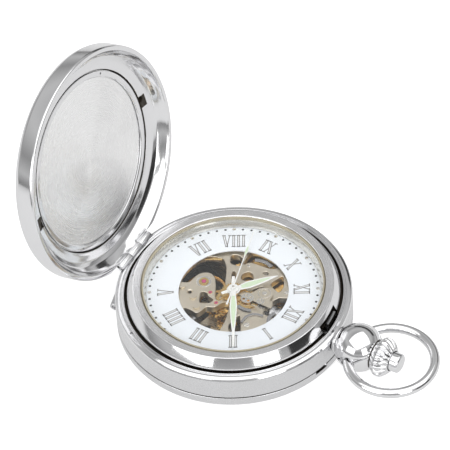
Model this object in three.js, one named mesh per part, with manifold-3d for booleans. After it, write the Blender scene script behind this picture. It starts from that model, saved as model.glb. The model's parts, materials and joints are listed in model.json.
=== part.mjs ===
// A hunter-cased skeleton pocket watch, 48 mm across the case, lying on its back cover with the front cover
// open. Millimetres. +Z is up, out of the dial. The origin is where the case's axis meets the surface that the
// watch lies on. +X points along the pendant, to 12 o'clock, and 3 o'clock is towards -Y.
import * as THREE from "three";
import { mergeVertices } from "three/addons/utils/BufferGeometryUtils.js";
import Module from "manifold-3d";

const wasm = await Module();
wasm.setup();

// ---- Driving dimensions ----

const CASE_R = 24;
const SEAM_Z = 2.65; // underside of the case band, where the rear cover meets it
const RIM_Z = 8.1; // top of the band, beside the bezel
const BEZEL_TOP_Z = 10.5;
const BEZEL_R = 22;
const CRYSTAL_R = 18.1;
const DIAL_Z = 8.2; // face of the dial
const DIAL_R = 18.25;
const APERTURE_R = 11.12;
const MOVEMENT_R = 17.9;
const PLATE = { low: 5.7, high: 7.3 }; // main plate
const BRIDGE = { low: 2.35, high: 3.05 }; // the bridges, on the movement's back

const STEM_Z = 6.4; // winding stem, pendant, ball, crown and bow all share this height
const BALL_X = 28.9;
const BALL_R = 4.95;
const BOW_R = 8.7;
const BOW_WIRE_R = 1;
const BOW_X = BALL_X + 7.4;
const CROWN_X = BALL_X + 4.1; // its inner face
const CROWN_R = 4.1;

const FRONT_HINGE = { x: -23.4, z: 8.1, r: 0.85, pinR: 0.38, halfLength: 5.5 };
const COVER_OPEN_DEG = 104;
const COVER_FLAT_X = -22.4; // the front cover's rim is cut flat along its hinge
const REAR_HINGE = { x: -24.1, z: 2.6, r: 0.9, pinR: 0.38, halfLength: 5 };
const REAR_HINGE_TURN_DEG = 15; // the rear hinge sits this far round from 6 o'clock, towards 5
const KNUCKLE_HALF = 1.75; // the middle knuckle of each hinge
const KNUCKLE_GAP = 0.1;

const RING_STEPS = 44;
const INNER_STEPS = 28;
const SMALL_STEPS = 12;

// Each arbor of the movement, seen from the dial side.
const CENTRE = { x: 0, y: 0 };
const BALANCE = { x: -7, y: 0 };
const PALLET = { x: -4.4, y: -1.9 };
const ESCAPE = { x: -1.9, y: -3.8 };
const THIRD = polar(4.3, -55);
const BARREL = polar(8.4, 70);
const CROWN_WHEEL = { x: 9.6, y: 0 };
const MINUTE_WHEEL = { x: 3.3, y: -0.3 };
const SETTING_LEVER = { x: 14.5, y: 2.6 };
const YOKE = { x: 10, y: -6 };
const CLICK = { x: -4.6, y: 12.1 };

const TEETH = {
  barrel: 56,
  centrePinion: 8,
  centreWheel: 48,
  thirdPinion: 6,
  thirdWheel: 45,
  fourthPinion: 6,
  fourthWheel: 60,
  escapePinion: 6,
  escape: 15,
  cannon: 10,
  minuteWheel: 30,
  minutePinion: 8,
  hourWheel: 32,
  setting: 12,
  windingPinion: 14,
  crownContrate: 28,
  crownSpur: 26,
  ratchet: 44,
};

// ---- Helpers ----

function polar(r, degrees) {
  const a = THREE.MathUtils.degToRad(degrees);
  return { x: r * Math.cos(a), y: r * Math.sin(a) };
}

function distance(a, b) {
  return Math.hypot(a.x - b.x, a.y - b.y);
}

function bearing(from, to) {
  return Math.atan2(to.y - from.y, to.x - from.x);
}

// A closed three.js geometry as a solid whose faces point outwards.
function solid(geometry) {
  const bare = geometry.index ? geometry.toNonIndexed() : geometry.clone();
  bare.deleteAttribute("normal");
  bare.deleteAttribute("uv");
  const merged = mergeVertices(bare, 1e-4);
  const vertProperties = merged.attributes.position.array;
  const triVerts = new Uint32Array(merged.index.array);
  const made = new wasm.Manifold(new wasm.Mesh({ numProp: 3, vertProperties, triVerts }));
  if (made.volume() > 0) return made;
  const turnedRound = triVerts.map((_, i) => triVerts[i - (i % 3) + 2 - (i % 3)]);
  return new wasm.Manifold(new wasm.Mesh({ numProp: 3, vertProperties, triVerts: turnedRound }));
}

function join(...solids) {
  return solids.reduce((whole, piece) => whole.add(piece));
}

function cut(whole, ...cutters) {
  return cutters.reduce((rest, cutter) => rest.subtract(cutter), whole);
}

// A body of revolution about Z from a profile of [radius, z] points. A profile off the axis closes on itself.
function turned(profile, { x = 0, y = 0, steps = RING_STEPS } = {}) {
  const points = profile.map(([r, z]) => new THREE.Vector2(r, z));
  if (profile[0][0] > 0) points.push(points[0].clone());
  return solid(new THREE.LatheGeometry(points, steps).rotateX(Math.PI / 2).translate(x, y, 0));
}

// The same about the winding stem's axis, from a profile of [x, radius] points.
function turnedOnStem(profile, steps = 24) {
  const points = profile.map(([x, r]) => new THREE.Vector2(r, x));
  if (profile[0][1] > 0) points.push(points[0].clone());
  const geometry = new THREE.LatheGeometry(points, steps).rotateX(Math.PI / 2).rotateY(Math.PI / 2);
  return solid(geometry.translate(0, 0, STEM_Z));
}

function cylinder({ x, y }, r, low, high, steps = SMALL_STEPS) {
  const geometry = new THREE.CylinderGeometry(r, r, high - low, steps).rotateX(Math.PI / 2);
  return solid(geometry.translate(x, y, (low + high) / 2));
}

function tube(centre, inner, outer, low, high, steps = SMALL_STEPS) {
  const profile = [[inner, low], [outer, low], [outer, high], [inner, high]];
  return turned(profile, { ...centre, steps });
}

function cylinderX(r, from, to, y = 0, steps = SMALL_STEPS) {
  const geometry = new THREE.CylinderGeometry(r, r, to - from, steps).rotateZ(Math.PI / 2);
  return solid(geometry.translate((from + to) / 2, y, STEM_Z));
}

function cylinderY({ x, z }, r, from, to, steps = SMALL_STEPS) {
  return solid(new THREE.CylinderGeometry(r, r, to - from, steps).translate(x, (from + to) / 2, z));
}

function box([x0, x1], [y0, y1], [z0, z1]) {
  const geometry = new THREE.BoxGeometry(x1 - x0, y1 - y0, z1 - z0);
  return solid(geometry.translate((x0 + x1) / 2, (y0 + y1) / 2, (z0 + z1) / 2));
}

// A flat piece from an outline of [x, y] points, with outlines of holes.
function plate(outline, low, high, holes = []) {
  const shape = new THREE.Shape(outline.map(([x, y]) => new THREE.Vector2(x, y)));
  for (const hole of holes) shape.holes.push(new THREE.Path(hole.map(([x, y]) => new THREE.Vector2(x, y))));
  const geometry = new THREE.ExtrudeGeometry(shape, { depth: high - low, bevelEnabled: false });
  return solid(geometry.translate(0, 0, low));
}

function arc({ x, y }, r, fromDeg, toDeg, steps) {
  const points = [];
  for (let i = 0; i <= steps; i++) {
    const p = polar(r, fromDeg + ((toDeg - fromDeg) * i) / steps);
    points.push([x + p.x, y + p.y]);
  }
  return points;
}

function circle(centre, r, steps = SMALL_STEPS) {
  return arc(centre, r, 0, 360 - 360 / steps, steps - 1);
}

// A curved strip about a centre, such as a flat spring.
function strip(centre, inner, outer, fromDeg, toDeg, steps) {
  return [...arc(centre, outer, fromDeg, toDeg, steps), ...arc(centre, inner, toDeg, fromDeg, steps)];
}

// A smooth closed or open line through a few [x, y] points.
function smooth(points, steps, closed = true) {
  const curve = new THREE.CatmullRomCurve3(points.map(([x, y]) => new THREE.Vector3(x, y, 0)), closed);
  const line = curve.getPoints(steps).map((p) => [p.x, p.y]);
  return closed ? line.slice(0, -1) : line;
}

// A ribbon of one width along an open line.
function ribbon(line, width) {
  const left = [];
  const right = [];
  line.forEach(([x, y], i) => {
    const [ax, ay] = line[Math.max(i - 1, 0)];
    const [bx, by] = line[Math.min(i + 1, line.length - 1)];
    const length = Math.hypot(bx - ax, by - ay);
    const nx = ((ay - by) / length) * (width / 2);
    const ny = ((bx - ax) / length) * (width / 2);
    left.push([x + nx, y + ny]);
    right.unshift([x - nx, y - ny]);
  });
  return [...left, ...right];
}

// ---- Gears ----

// Pitch radii of two gears that mesh across a distance.
function pitchRadii(span, teethA, teethB) {
  const each = span / (teethA + teethB);
  return [each * teethA, each * teethB];
}

// The angle of a tooth of gear B that puts its gap on a tooth of gear A, which has a tooth at phaseA.
function matingPhase(a, teethA, phaseA, b, teethB) {
  const direction = bearing(a, b);
  const offset = ((direction - phaseA) * teethA) / (2 * Math.PI);
  return direction + Math.PI - ((0.5 - offset) * 2 * Math.PI) / teethB;
}

// A wheel's outline, with pointed teeth.
function wheelOutline({ x, y }, r, teeth, phase) {
  const module = (2 * r) / teeth;
  const points = [];
  for (let i = 0; i < teeth * 2; i++) {
    const radius = i % 2 ? r - 1.7 * module : r + 0.8 * module;
    const angle = phase + (i * Math.PI) / teeth;
    points.push([x + radius * Math.cos(angle), y + radius * Math.sin(angle)]);
  }
  return points;
}

// A pinion's outline, with narrow leaves.
function pinionOutline({ x, y }, r, teeth, phase, tip = 0.8) {
  const module = (2 * r) / teeth;
  const pitch = Math.PI / teeth;
  const corners = [
    [r - 1.3 * module, -0.45],
    [r + tip * module, -0.16],
    [r + tip * module, 0.16],
    [r - 1.3 * module, 0.45],
  ];
  const points = [];
  for (let i = 0; i < teeth; i++) {
    for (const [radius, share] of corners) {
      const angle = phase + 2 * pitch * i + share * pitch;
      points.push([x + radius * Math.cos(angle), y + radius * Math.sin(angle)]);
    }
  }
  return points;
}

// The windows between a wheel's spokes.
function spokeWindows({ x, y }, inner, outer, spokes, spokeHalfWidth, startDeg = 0) {
  const windows = [];
  for (let i = 0; i < spokes; i++) {
    const from = startDeg + (360 / spokes) * i;
    const outerSlack = THREE.MathUtils.radToDeg(spokeHalfWidth / outer);
    const innerSlack = THREE.MathUtils.radToDeg(spokeHalfWidth / inner);
    const to = from + 360 / spokes;
    windows.push([
      ...arc({ x, y }, outer, from + outerSlack, to - outerSlack, 4),
      ...arc({ x, y }, inner, to - innerSlack, from + innerSlack, 2),
    ]);
  }
  return windows;
}

// ---- Materials ----

function metal(color, roughness) {
  return new THREE.MeshStandardMaterial({ color, roughness, metalness: 1, flatShading: true });
}

const MATERIAL = {
  polished: metal(0xd4d6d8, 0.12),
  satin: metal(0xc8cacc, 0.35),
  brushed: metal(0xbfc1c3, 0.45),
  nickel: metal(0xc9c2b2, 0.4),
  champagne: metal(0xd1c7ae, 0.4),
  brass: metal(0xc39a52, 0.3),
  copper: metal(0xb98240, 0.3),
  springSteel: metal(0x8c8e92, 0.35),
  dark: metal(0x55504a, 0.5),
  gasket: new THREE.MeshStandardMaterial({ color: 0xa89a74, roughness: 0.5 }),
  enamel: new THREE.MeshStandardMaterial({ color: 0xf1f5fb, roughness: 0.35 }),
  handWhite: new THREE.MeshStandardMaterial({ color: 0xf4f5f3, roughness: 0.3 }),
  ruby: new THREE.MeshStandardMaterial({ color: 0xb0426a, roughness: 0.1 }),
  glass: new THREE.MeshStandardMaterial({ color: 0xffffff, roughness: 0.02, transparent: true, opacity: 0.2 }),
};

const watch = new THREE.Group();

function add(name, made, material, parent = watch) {
  const { numProp, numVert, vertProperties, triVerts } = made.getMesh();
  const position = new Float32Array(numVert * 3);
  for (let i = 0; i < numVert; i++) {
    position.set(vertProperties.subarray(i * numProp, i * numProp + 3), i * 3);
  }
  const geometry = new THREE.BufferGeometry();
  geometry.setAttribute("position", new THREE.BufferAttribute(position, 3));
  geometry.setIndex(new THREE.BufferAttribute(new Uint32Array(triVerts), 1));
  const mesh = new THREE.Mesh(geometry, material);
  mesh.name = name;
  parent.add(mesh);
}

// ---- Case ----

const SLEEVE_BORE = { inBall: 1.8, inBand: 1.25 };
const STEM_BORE_R = 0.8;
const SPRING_GROOVE = { inner: 20.3, outer: 21.9, low: 4.3 };
const LEDGE_Z = 6.7; // the bezel stands on this ledge
const BORE_R = 19.3;

// One knuckle of a hinge, bored for its pin, in the hinge's own frame with its axis along Y.
function knuckle(hinge, from, to) {
  return cut(cylinderY(hinge, hinge.r, from, to, 16), cylinderY(hinge, hinge.pinR + 0.08, from - 1, to + 1));
}

function turnAboutZ(geometrySolid, degrees) {
  return geometrySolid.rotate([0, 0, degrees]);
}

function caseBand() {
  const { inner, outer, low } = SPRING_GROOVE;
  const ring = turned([
    [BORE_R, 2.3],
    [20.9, 2.3],
    [20.9, 1.45],
    [22.4, 1.45],
    [22.4, SEAM_Z],
    [CASE_R - 0.25, SEAM_Z],
    [CASE_R, SEAM_Z + 0.3],
    [CASE_R, 7.5],
    [CASE_R - 0.3, 7.9],
    [BEZEL_R + 0.1, RIM_Z],
    [BEZEL_R + 0.1, LEDGE_Z],
    [outer, LEDGE_Z],
    [outer, low],
    [inner, low],
    [inner, LEDGE_Z],
    [BORE_R, LEDGE_Z],
  ]);
  const hingeBed = box([-25, FRONT_HINGE.x + 0.95], [-5.75, 5.75], [7.05, 9]);
  const slot = plate(strip(CENTRE, 22.75, 23.25, -3.5, 7.2, 4), 7.3, 9);
  const rearBed = box([-25.5, REAR_HINGE.x + 1.05], [-5.3, 5.3], [1, 3.7]);
  const bored = cut(
    ring,
    cylinderX(SLEEVE_BORE.inBand, 21.2, 25, 0, 16),
    cylinderX(STEM_BORE_R, 18, 22),
    hingeBed,
    slot,
    turnAboutZ(rearBed, REAR_HINGE_TURN_DEG),
  );
  const frontFoot = box([-24, -22.7], [-KNUCKLE_HALF, KNUCKLE_HALF], [6.9, 7.9]);
  const rearFoot = box([-24, -22.9], [-KNUCKLE_HALF, KNUCKLE_HALF], [2.9, 3.9]);
  const pinRoom = cylinderY(FRONT_HINGE, FRONT_HINGE.pinR + 0.08, -3, 3);
  const front = cut(join(frontFoot, knuckle(FRONT_HINGE, -KNUCKLE_HALF, KNUCKLE_HALF)), pinRoom);
  const rearPinRoom = cylinderY(REAR_HINGE, REAR_HINGE.pinR + 0.08, -3, 3);
  const rear = cut(join(rearFoot, knuckle(REAR_HINGE, -KNUCKLE_HALF, KNUCKLE_HALF)), rearPinRoom);
  return join(bored, front, turnAboutZ(rear, REAR_HINGE_TURN_DEG));
}

function frontBezel() {
  const ring = turned([
    [18.5, 7.95],
    [19.35, 7.95],
    [19.35, LEDGE_Z + 0.05],
    [BEZEL_R, LEDGE_Z + 0.05],
    [BEZEL_R, RIM_Z],
    [20.3, BEZEL_TOP_Z],
    [18.5, BEZEL_TOP_Z],
  ]);
  return cut(ring, box([19.6, 23], [-1.5, 5.1], [6, 9.6]), cylinderX(STEM_BORE_R, 18, 23));
}

const NECK_END_X = BALL_X - 4;

function pendantNeck() {
  const neck = turnedOnStem([
    [22.8, SLEEVE_BORE.inBand],
    [22.8, 2.6],
    [NECK_END_X - 0.6, 2.6],
    [NECK_END_X - 0.4, 3],
    [NECK_END_X - 0.1, 3],
    [NECK_END_X, 2.8],
    [NECK_END_X, SLEEVE_BORE.inBand],
  ]);
  return cut(neck, cylinder(CENTRE, CASE_R + 0.25, -1, 20, RING_STEPS));
}

function pendantBall() {
  const from = NECK_END_X + 0.1;
  const to = BALL_X + 3.8;
  const profile = [[from, SLEEVE_BORE.inBall]];
  const slices = 7;
  for (let i = 0; i <= slices; i++) {
    const x = from + ((to - from) * i) / slices;
    profile.push([x, Math.sqrt(BALL_R ** 2 - (x - BALL_X) ** 2)]);
  }
  profile.push([to, SLEEVE_BORE.inBall]);
  const pivot = { x: BALL_X, z: STEM_Z };
  const sockets = [-1, 1].flatMap((side) => [
    cylinderY(pivot, 1.6, Math.min(side * 3.8, side * 6), Math.max(side * 3.8, side * 6), 20),
    cylinderY(pivot, 0.7, Math.min(side * 3, side * 5), Math.max(side * 3, side * 5)),
  ]);
  return cut(turnedOnStem(profile, 20), ...sockets);
}

const BOW_STEPS = 22;

function bow() {
  const endAngle = Math.acos((BALL_X - BOW_X) / BOW_R);
  const path = new THREE.CatmullRomCurve3(
    Array.from({ length: BOW_STEPS + 1 }, (_, i) => {
      const a = -endAngle + (2 * endAngle * i) / BOW_STEPS;
      return new THREE.Vector3(BOW_X + BOW_R * Math.cos(a), BOW_R * Math.sin(a), STEM_Z);
    }),
  );
  const section = new THREE.Shape(circle(CENTRE, BOW_WIRE_R, 8).map(([x, y]) => new THREE.Vector2(x, y)));
  const sweep = { extrudePath: path, steps: BOW_STEPS, bevelEnabled: false };
  const wire = solid(new THREE.ExtrudeGeometry(section, sweep));
  const pivot = { x: BALL_X, z: STEM_Z };
  const ends = [-1, 1].flatMap((side) => [
    cylinderY(pivot, 0.95, Math.min(side * 4, side * 4.9), Math.max(side * 4, side * 4.9)),
    cylinderY(pivot, 0.6, Math.min(side * 3.2, side * 4.5), Math.max(side * 3.2, side * 4.5)),
  ]);
  return join(wire, ...ends);
}

function catchSpring() {
  const leaf = plate(strip(CENTRE, 20.85, 21.3, 7, 75, 10), 4.6, 6.2);
  const tongue = plate(strip(CENTRE, 20.95, 21.55, 2, 12, 3), 4.6, 8.6);
  return join(leaf, tongue);
}

add("case_band", caseBand(), MATERIAL.polished);
add("front_bezel", frontBezel(), MATERIAL.satin);
add("crystal", cylinder(CENTRE, CRYSTAL_R, 9.85, 10.45, INNER_STEPS), MATERIAL.glass);
add("crystal_gasket", tube(CENTRE, 18.15, 18.45, 9.8, BEZEL_TOP_Z, INNER_STEPS), MATERIAL.gasket);
add(
  "rehaut_ring",
  turned([[17.55, DIAL_Z + 0.08], [18.3, DIAL_Z + 0.08], [18.42, 9.75], [18.2, 9.75]], { steps: INNER_STEPS }),
  MATERIAL.satin,
);
add("dial", tube(CENTRE, APERTURE_R, DIAL_R, DIAL_Z - 0.3, DIAL_Z, RING_STEPS), MATERIAL.enamel);
add(
  "movement_ring",
  cut(tube(CENTRE, MOVEMENT_R + 0.1, BORE_R - 0.1, 2.4, 7.8, RING_STEPS), cylinderX(STEM_BORE_R, 17, 20)),
  MATERIAL.satin,
);
add("pendant_neck", pendantNeck(), MATERIAL.polished);
add("pendant_ball", pendantBall(), MATERIAL.polished);
add("bow", bow(), MATERIAL.polished);
add("catch_spring", catchSpring(), MATERIAL.springSteel);
add("lift_spring", plate(strip(CENTRE, 20.8, 21.25, 95, 165, 10), 4.6, 6.2), MATERIAL.springSteel);
add(
  "front_hinge_pin",
  cylinderY(FRONT_HINGE, FRONT_HINGE.pinR, -FRONT_HINGE.halfLength + 0.2, FRONT_HINGE.halfLength - 0.2, 10),
  MATERIAL.springSteel,
);
add("back_bezel", tube(CENTRE, 17.4, 20.8, 1, 2.2, INNER_STEPS), MATERIAL.satin);
add("back_crystal", cylinder(CENTRE, 17.3, 1.05, 1.6, INNER_STEPS), MATERIAL.glass);

// ---- Front cover, made closed about its hinge and swung open ----

const coverSwing = new THREE.Group();
coverSwing.position.set(FRONT_HINGE.x, 0, FRONT_HINGE.z);
coverSwing.rotation.y = -THREE.MathUtils.degToRad(COVER_OPEN_DEG);
const closedCover = new THREE.Group();
closedCover.position.set(-FRONT_HINGE.x, 0, -FRONT_HINGE.z);
coverSwing.add(closedCover);
watch.add(coverSwing);

const COVER = {
  lip: 8.2,
  ringFace: 11,
  pocketR: 18.7,
  pocketTop: 12,
  recessR: 16.8,
  recessTop: 12.8,
  top: 13.6,
};

// The two outer knuckles of a hinge and the leaf that joins them to a cover.
function outerKnuckles(hinge, leafX, leafZ) {
  return [-1, 1].map((side) => {
    const near = side * (KNUCKLE_HALF + KNUCKLE_GAP);
    const far = side * hinge.halfLength;
    const [from, to] = [Math.min(near, far), Math.max(near, far)];
    const leaf = cut(box(leafX, [from, to], leafZ), cylinderY(hinge, hinge.pinR + 0.08, from - 1, to + 1));
    return join(knuckle(hinge, from, to), leaf);
  });
}

function frontCover() {
  const shell = turned([
    [0, COVER.recessTop],
    [COVER.recessR, COVER.recessTop],
    [COVER.recessR, COVER.pocketTop],
    [COVER.pocketR, COVER.pocketTop],
    [COVER.pocketR, COVER.ringFace],
    [19.3, COVER.ringFace],
    [21.3, 10.45],
    [22.5, 9.4],
    [22.95, COVER.lip],
    [CASE_R - 0.2, COVER.lip],
    [CASE_R, COVER.lip + 0.3],
    [CASE_R, 11.7],
    [CASE_R - 0.4, 12.5],
    [CASE_R - 1.4, 13],
    [19, 13.4],
    [0, COVER.top],
  ]);
  const flat = box([-25, COVER_FLAT_X], [-12, 12], [5, 15]);
  return join(cut(shell, flat), ...outerKnuckles(FRONT_HINGE, [FRONT_HINGE.x, -22], [8.35, 8.9]));
}

add("front_cover", frontCover(), MATERIAL.polished, closedCover);
add(
  "cover_inner_ring",
  turned([[17, COVER.ringFace + 0.1], [18.55, COVER.ringFace + 0.05], [18.55, 11.45], [17, 11.45]], {
    steps: INNER_STEPS,
  }),
  MATERIAL.polished,
  closedCover,
);
add("cover_inner_disc", cylinder(CENTRE, 18.5, 11.5, 11.92, INNER_STEPS), MATERIAL.brushed, closedCover);

// ---- Rear cover, made with its hinge at -X and turned to its place ----

const rearTurn = new THREE.Group();
rearTurn.rotation.z = THREE.MathUtils.degToRad(REAR_HINGE_TURN_DEG);
watch.add(rearTurn);

const NAIL_NOTCH_DEG = -13 - REAR_HINGE_TURN_DEG;

function rearCover() {
  const shell = turned([
    [0, 0],
    [CASE_R - 1.1, 0],
    [CASE_R - 0.35, 0.28],
    [CASE_R, 0.9],
    [CASE_R, SEAM_Z - 0.15],
    [22.75, SEAM_Z - 0.15],
    [22.75, 1.45],
    [21.6, 0.75],
    [19, 0.6],
    [0, 0.6],
  ]);
  const notch = polar(CASE_R + 0.35, NAIL_NOTCH_DEG);
  const hingeBed = box([-25.5, REAR_HINGE.x + 1], [-5.3, 5.3], [1.4, 4]);
  const cleared = cut(shell, cylinder(notch, 1.7, 1.9, 3, 16), hingeBed);
  return join(cleared, ...outerKnuckles(REAR_HINGE, [REAR_HINGE.x, -22.8], [1.75, 2.3]));
}

add("rear_cover", rearCover(), MATERIAL.polished, rearTurn);
add(
  "rear_hinge_pin",
  cylinderY(REAR_HINGE, REAR_HINGE.pinR, -REAR_HINGE.halfLength + 0.2, REAR_HINGE.halfLength - 0.2, 10),
  MATERIAL.springSteel,
  rearTurn,
);

// ---- Crown, push button and winding ----

const BUTTON_PIN_Y = 1.35;
const STEM_END_X = CROWN_X + 1.2;
const SLEEVE = {
  from: 21.95,
  shoulder: NECK_END_X + 1,
  to: CROWN_X - 0.7,
  bore: 0.78,
  r: 1.15,
  shoulderR: 1.7,
};

function crown() {
  const fluted = [];
  const flutes = 18;
  for (let i = 0; i < flutes * 2; i++) {
    const p = polar(i % 2 ? CROWN_R : CROWN_R - 0.35, (i * 180) / flutes);
    fluted.push([p.x, p.y]);
  }
  const grip = new THREE.ExtrudeGeometry(
    new THREE.Shape(fluted.map(([x, y]) => new THREE.Vector2(x, y))),
    { depth: 2.2, bevelEnabled: false },
  );
  grip.rotateY(Math.PI / 2).translate(CROWN_X + 0.6, 0, STEM_Z);
  const body = turnedOnStem([
    [CROWN_X, 0],
    [CROWN_X, 3.3],
    [CROWN_X + 0.7, 3.7],
    [CROWN_X + 2.7, 3.7],
    [CROWN_X + 3.6, 2.45],
    [CROWN_X + 3.6, 0],
  ]);
  return cut(
    join(body, solid(grip)),
    cylinderX(2.15, STEM_END_X, CROWN_X + 4, 0, 24),
    cylinderX(0.68, CROWN_X - 1, CROWN_X + 2),
    cylinderX(0.42, CROWN_X - 1, CROWN_X + 2, BUTTON_PIN_Y, 8),
    cylinderX(0.42, CROWN_X - 1, CROWN_X + 2, -BUTTON_PIN_Y, 8),
  );
}

function pushButton() {
  const cap = turnedOnStem([
    [CROWN_X + 2.3, 0],
    [CROWN_X + 2.3, 2],
    [CROWN_X + 5, 2],
    [CROWN_X + 5.45, 1.6],
    [CROWN_X + 5.6, 0],
  ]);
  const pins = [-1, 1].map((side) => cylinderX(0.32, CROWN_X - 0.6, CROWN_X + 2.6, side * BUTTON_PIN_Y, 8));
  return join(cap, ...pins);
}

const STEM_R = 0.6;
const SETTING_GROOVE = { from: 14.1, to: 14.9, r: 0.35 };

function stem() {
  const { from, to, r } = SETTING_GROOVE;
  const profile = [
    [7.9, 0],
    [7.9, 0.3],
    [8.6, STEM_R],
    [from, STEM_R],
    [from, r],
    [to, r],
    [to, STEM_R],
    [STEM_END_X, STEM_R],
    [STEM_END_X, 0],
  ];
  return turnedOnStem(profile, SMALL_STEPS);
}

// The push button's pins drive this sleeve, which flexes the catch spring.
function releaseSleeve() {
  const { from, shoulder, to, bore, r, shoulderR } = SLEEVE;
  const profile = [
    [from, bore],
    [from, r],
    [shoulder, r],
    [shoulder, shoulderR],
    [to, shoulderR],
    [to, bore],
  ];
  return turnedOnStem(profile, 16);
}

const PINION_R = 1.25;
const PINION = { from: 11.55, to: 12.75 };

function windingPinion() {
  const outline = pinionOutline(CENTRE, PINION_R, TEETH.windingPinion, 0);
  const shape = new THREE.Shape(outline.map(([x, y]) => new THREE.Vector2(x, y)));
  const leaves = new THREE.ExtrudeGeometry(shape, { depth: PINION.to - PINION.from, bevelEnabled: false });
  leaves.rotateY(Math.PI / 2).translate(PINION.from, 0, STEM_Z);
  const hub = cylinderX(1, PINION.from - 0.35, PINION.from + 0.3);
  return cut(join(solid(leaves), hub), cylinderX(0.72, 10, 15));
}

function slidingClutch() {
  return turnedOnStem(
    [[8.9, 0.72], [8.9, 1.35], [9.7, 1.35], [9.7, 1], [10.3, 1], [10.3, 1.35], [11.05, 1.35], [11.05, 0.72]],
    16,
  );
}

function crownWheel() {
  const [spurR] = pitchRadii(distance(CROWN_WHEEL, BARREL), TEETH.crownSpur, TEETH.ratchet);
  const phase = bearing(CROWN_WHEEL, BARREL);
  const spur = plate(wheelOutline(CROWN_WHEEL, spurR, TEETH.crownSpur, phase), 1.9, 2.25);
  const contrate = [];
  const step = 360 / TEETH.crownContrate;
  for (let i = 0; i < TEETH.crownContrate; i++) {
    for (const [radius, share] of [[2.3, 0.36], [2.7, 0.36], [2.7, 0.64], [2.3, 0.64]]) {
      const p = polar(radius, (i + share) * step);
      contrate.push([CROWN_WHEEL.x + p.x, p.y]);
    }
  }
  return join(
    spur,
    cylinder(CROWN_WHEEL, 0.7, 2.1, 4.8),
    cylinder(CROWN_WHEEL, 2.7, 4.65, 4.92, TEETH.crownContrate),
    cut(plate(contrate, 4.8, 5.25), cylinder(CROWN_WHEEL, 2.38, 4, 6, TEETH.crownContrate)),
  );
}

function ratchetWheel() {
  const [, r] = pitchRadii(distance(CROWN_WHEEL, BARREL), TEETH.crownSpur, TEETH.ratchet);
  const phase = matingPhase(
    CROWN_WHEEL, TEETH.crownSpur, bearing(CROWN_WHEEL, BARREL), BARREL, TEETH.ratchet,
  );
  return plate(wheelOutline(BARREL, r, TEETH.ratchet, phase), 1.9, 2.25, [circle(BARREL, 0.95)]);
}

function click() {
  const nose = distance(BARREL, CLICK) - 6.95;
  const toRatchet = THREE.MathUtils.radToDeg(bearing(CLICK, BARREL));
  const tip = polar(nose, toRatchet);
  const back = arc(CLICK, 0.9, toRatchet + 60, toRatchet + 300, 8);
  return plate([...back, [CLICK.x + tip.x, CLICK.y + tip.y]], 1.9, 2.25);
}

function settingLever() {
  const arm = plate(ribbon([[SETTING_LEVER.x, 0], [SETTING_LEVER.x, 3.2]], 0.9), 7.4, 7.6);
  const pin = cylinder({ x: SETTING_LEVER.x, y: 0 }, 0.25, 6.82, 7.5, 8);
  return join(arm, cylinder(SETTING_LEVER, 0.8, 7.35, 7.65), pin);
}

function yoke() {
  const arm = ribbon(smooth([[10, -0.9], [9.7, -2.4], [10.4, -4.2], [YOKE.x, YOKE.y]], 8, false), 0.8);
  const finger = cylinder({ x: 10, y: -1.05 }, 0.12, 7, 7.55, 6);
  return join(plate(arm, 7.5, 7.65), cylinder(YOKE, 0.8, 7.38, 7.65), finger);
}

add("crown", crown(), MATERIAL.polished);
add("push_button", pushButton(), MATERIAL.polished);
add("stem", stem(), MATERIAL.springSteel);
add("release_sleeve", releaseSleeve(), MATERIAL.springSteel);
add("winding_pinion", windingPinion(), MATERIAL.springSteel);
add("sliding_clutch", slidingClutch(), MATERIAL.springSteel);
add("crown_wheel", crownWheel(), MATERIAL.springSteel);
add("ratchet_wheel", ratchetWheel(), MATERIAL.springSteel);
add(
  "barrel_arbor",
  join(cylinder(BARREL, 0.88, 1.95, 5.6), cylinder(BARREL, 0.5, 5.5, 6.5)),
  MATERIAL.springSteel,
);
add("click", click(), MATERIAL.springSteel);
add("setting_lever", settingLever(), MATERIAL.springSteel);
add("yoke", yoke(), MATERIAL.springSteel);
add(
  "yoke_spring",
  plate(ribbon(smooth([[5.4, -6.2], [5.5, -4.4], [6.6, -3], [8.4, -2.6]], 10, false), 0.5), 7.4, 7.6),
  MATERIAL.springSteel,
);

// ---- Going train ----

const ARBOR_R = 0.16;
const PIVOT = { low: 2.45, high: 6.4 };
const ESCAPEMENT = { low: 5, high: 5.2 }; // the escape wheel and the pallet fork
const PALLET_BRIDGE = { low: 4.45, high: 4.8 };
const BALANCE_RIM = { low: 3.7, high: 4.2, inner: 4.2, outer: 4.9 }; // swings under the pallet bridge
const BALANCE_SPOKE = { low: 3.85, high: 4.07 };

// A wheel with spokes and its pinion on one arbor.
function wheelWithPinion({ at, wheel, pinion, arbor = PIVOT, arborR = ARBOR_R, spokes = 5 }) {
  const rim = wheel.r - 0.75;
  const windows = spokeWindows(at, 0.9, rim, spokes, 0.16);
  return join(
    plate(wheelOutline(at, wheel.r, wheel.teeth, wheel.phase), wheel.low, wheel.high, windows),
    plate(pinionOutline(at, pinion.r, pinion.teeth, pinion.phase), pinion.low, pinion.high),
    cylinder(at, arborR, arbor.low, arbor.high),
    cylinder(at, arborR + 0.1, Math.min(wheel.low, pinion.low), Math.max(wheel.high, pinion.high)),
  );
}

const [barrelR, centrePinionR] = pitchRadii(distance(BARREL, CENTRE), TEETH.barrel, TEETH.centrePinion);
const [centreR, thirdPinionR] = pitchRadii(distance(CENTRE, THIRD), TEETH.centreWheel, TEETH.thirdPinion);
const [thirdR, fourthPinionR] = pitchRadii(distance(CENTRE, THIRD), TEETH.thirdWheel, TEETH.fourthPinion);
const [fourthR, escapePinionR] = pitchRadii(distance(CENTRE, ESCAPE), TEETH.fourthWheel, TEETH.escapePinion);

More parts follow.
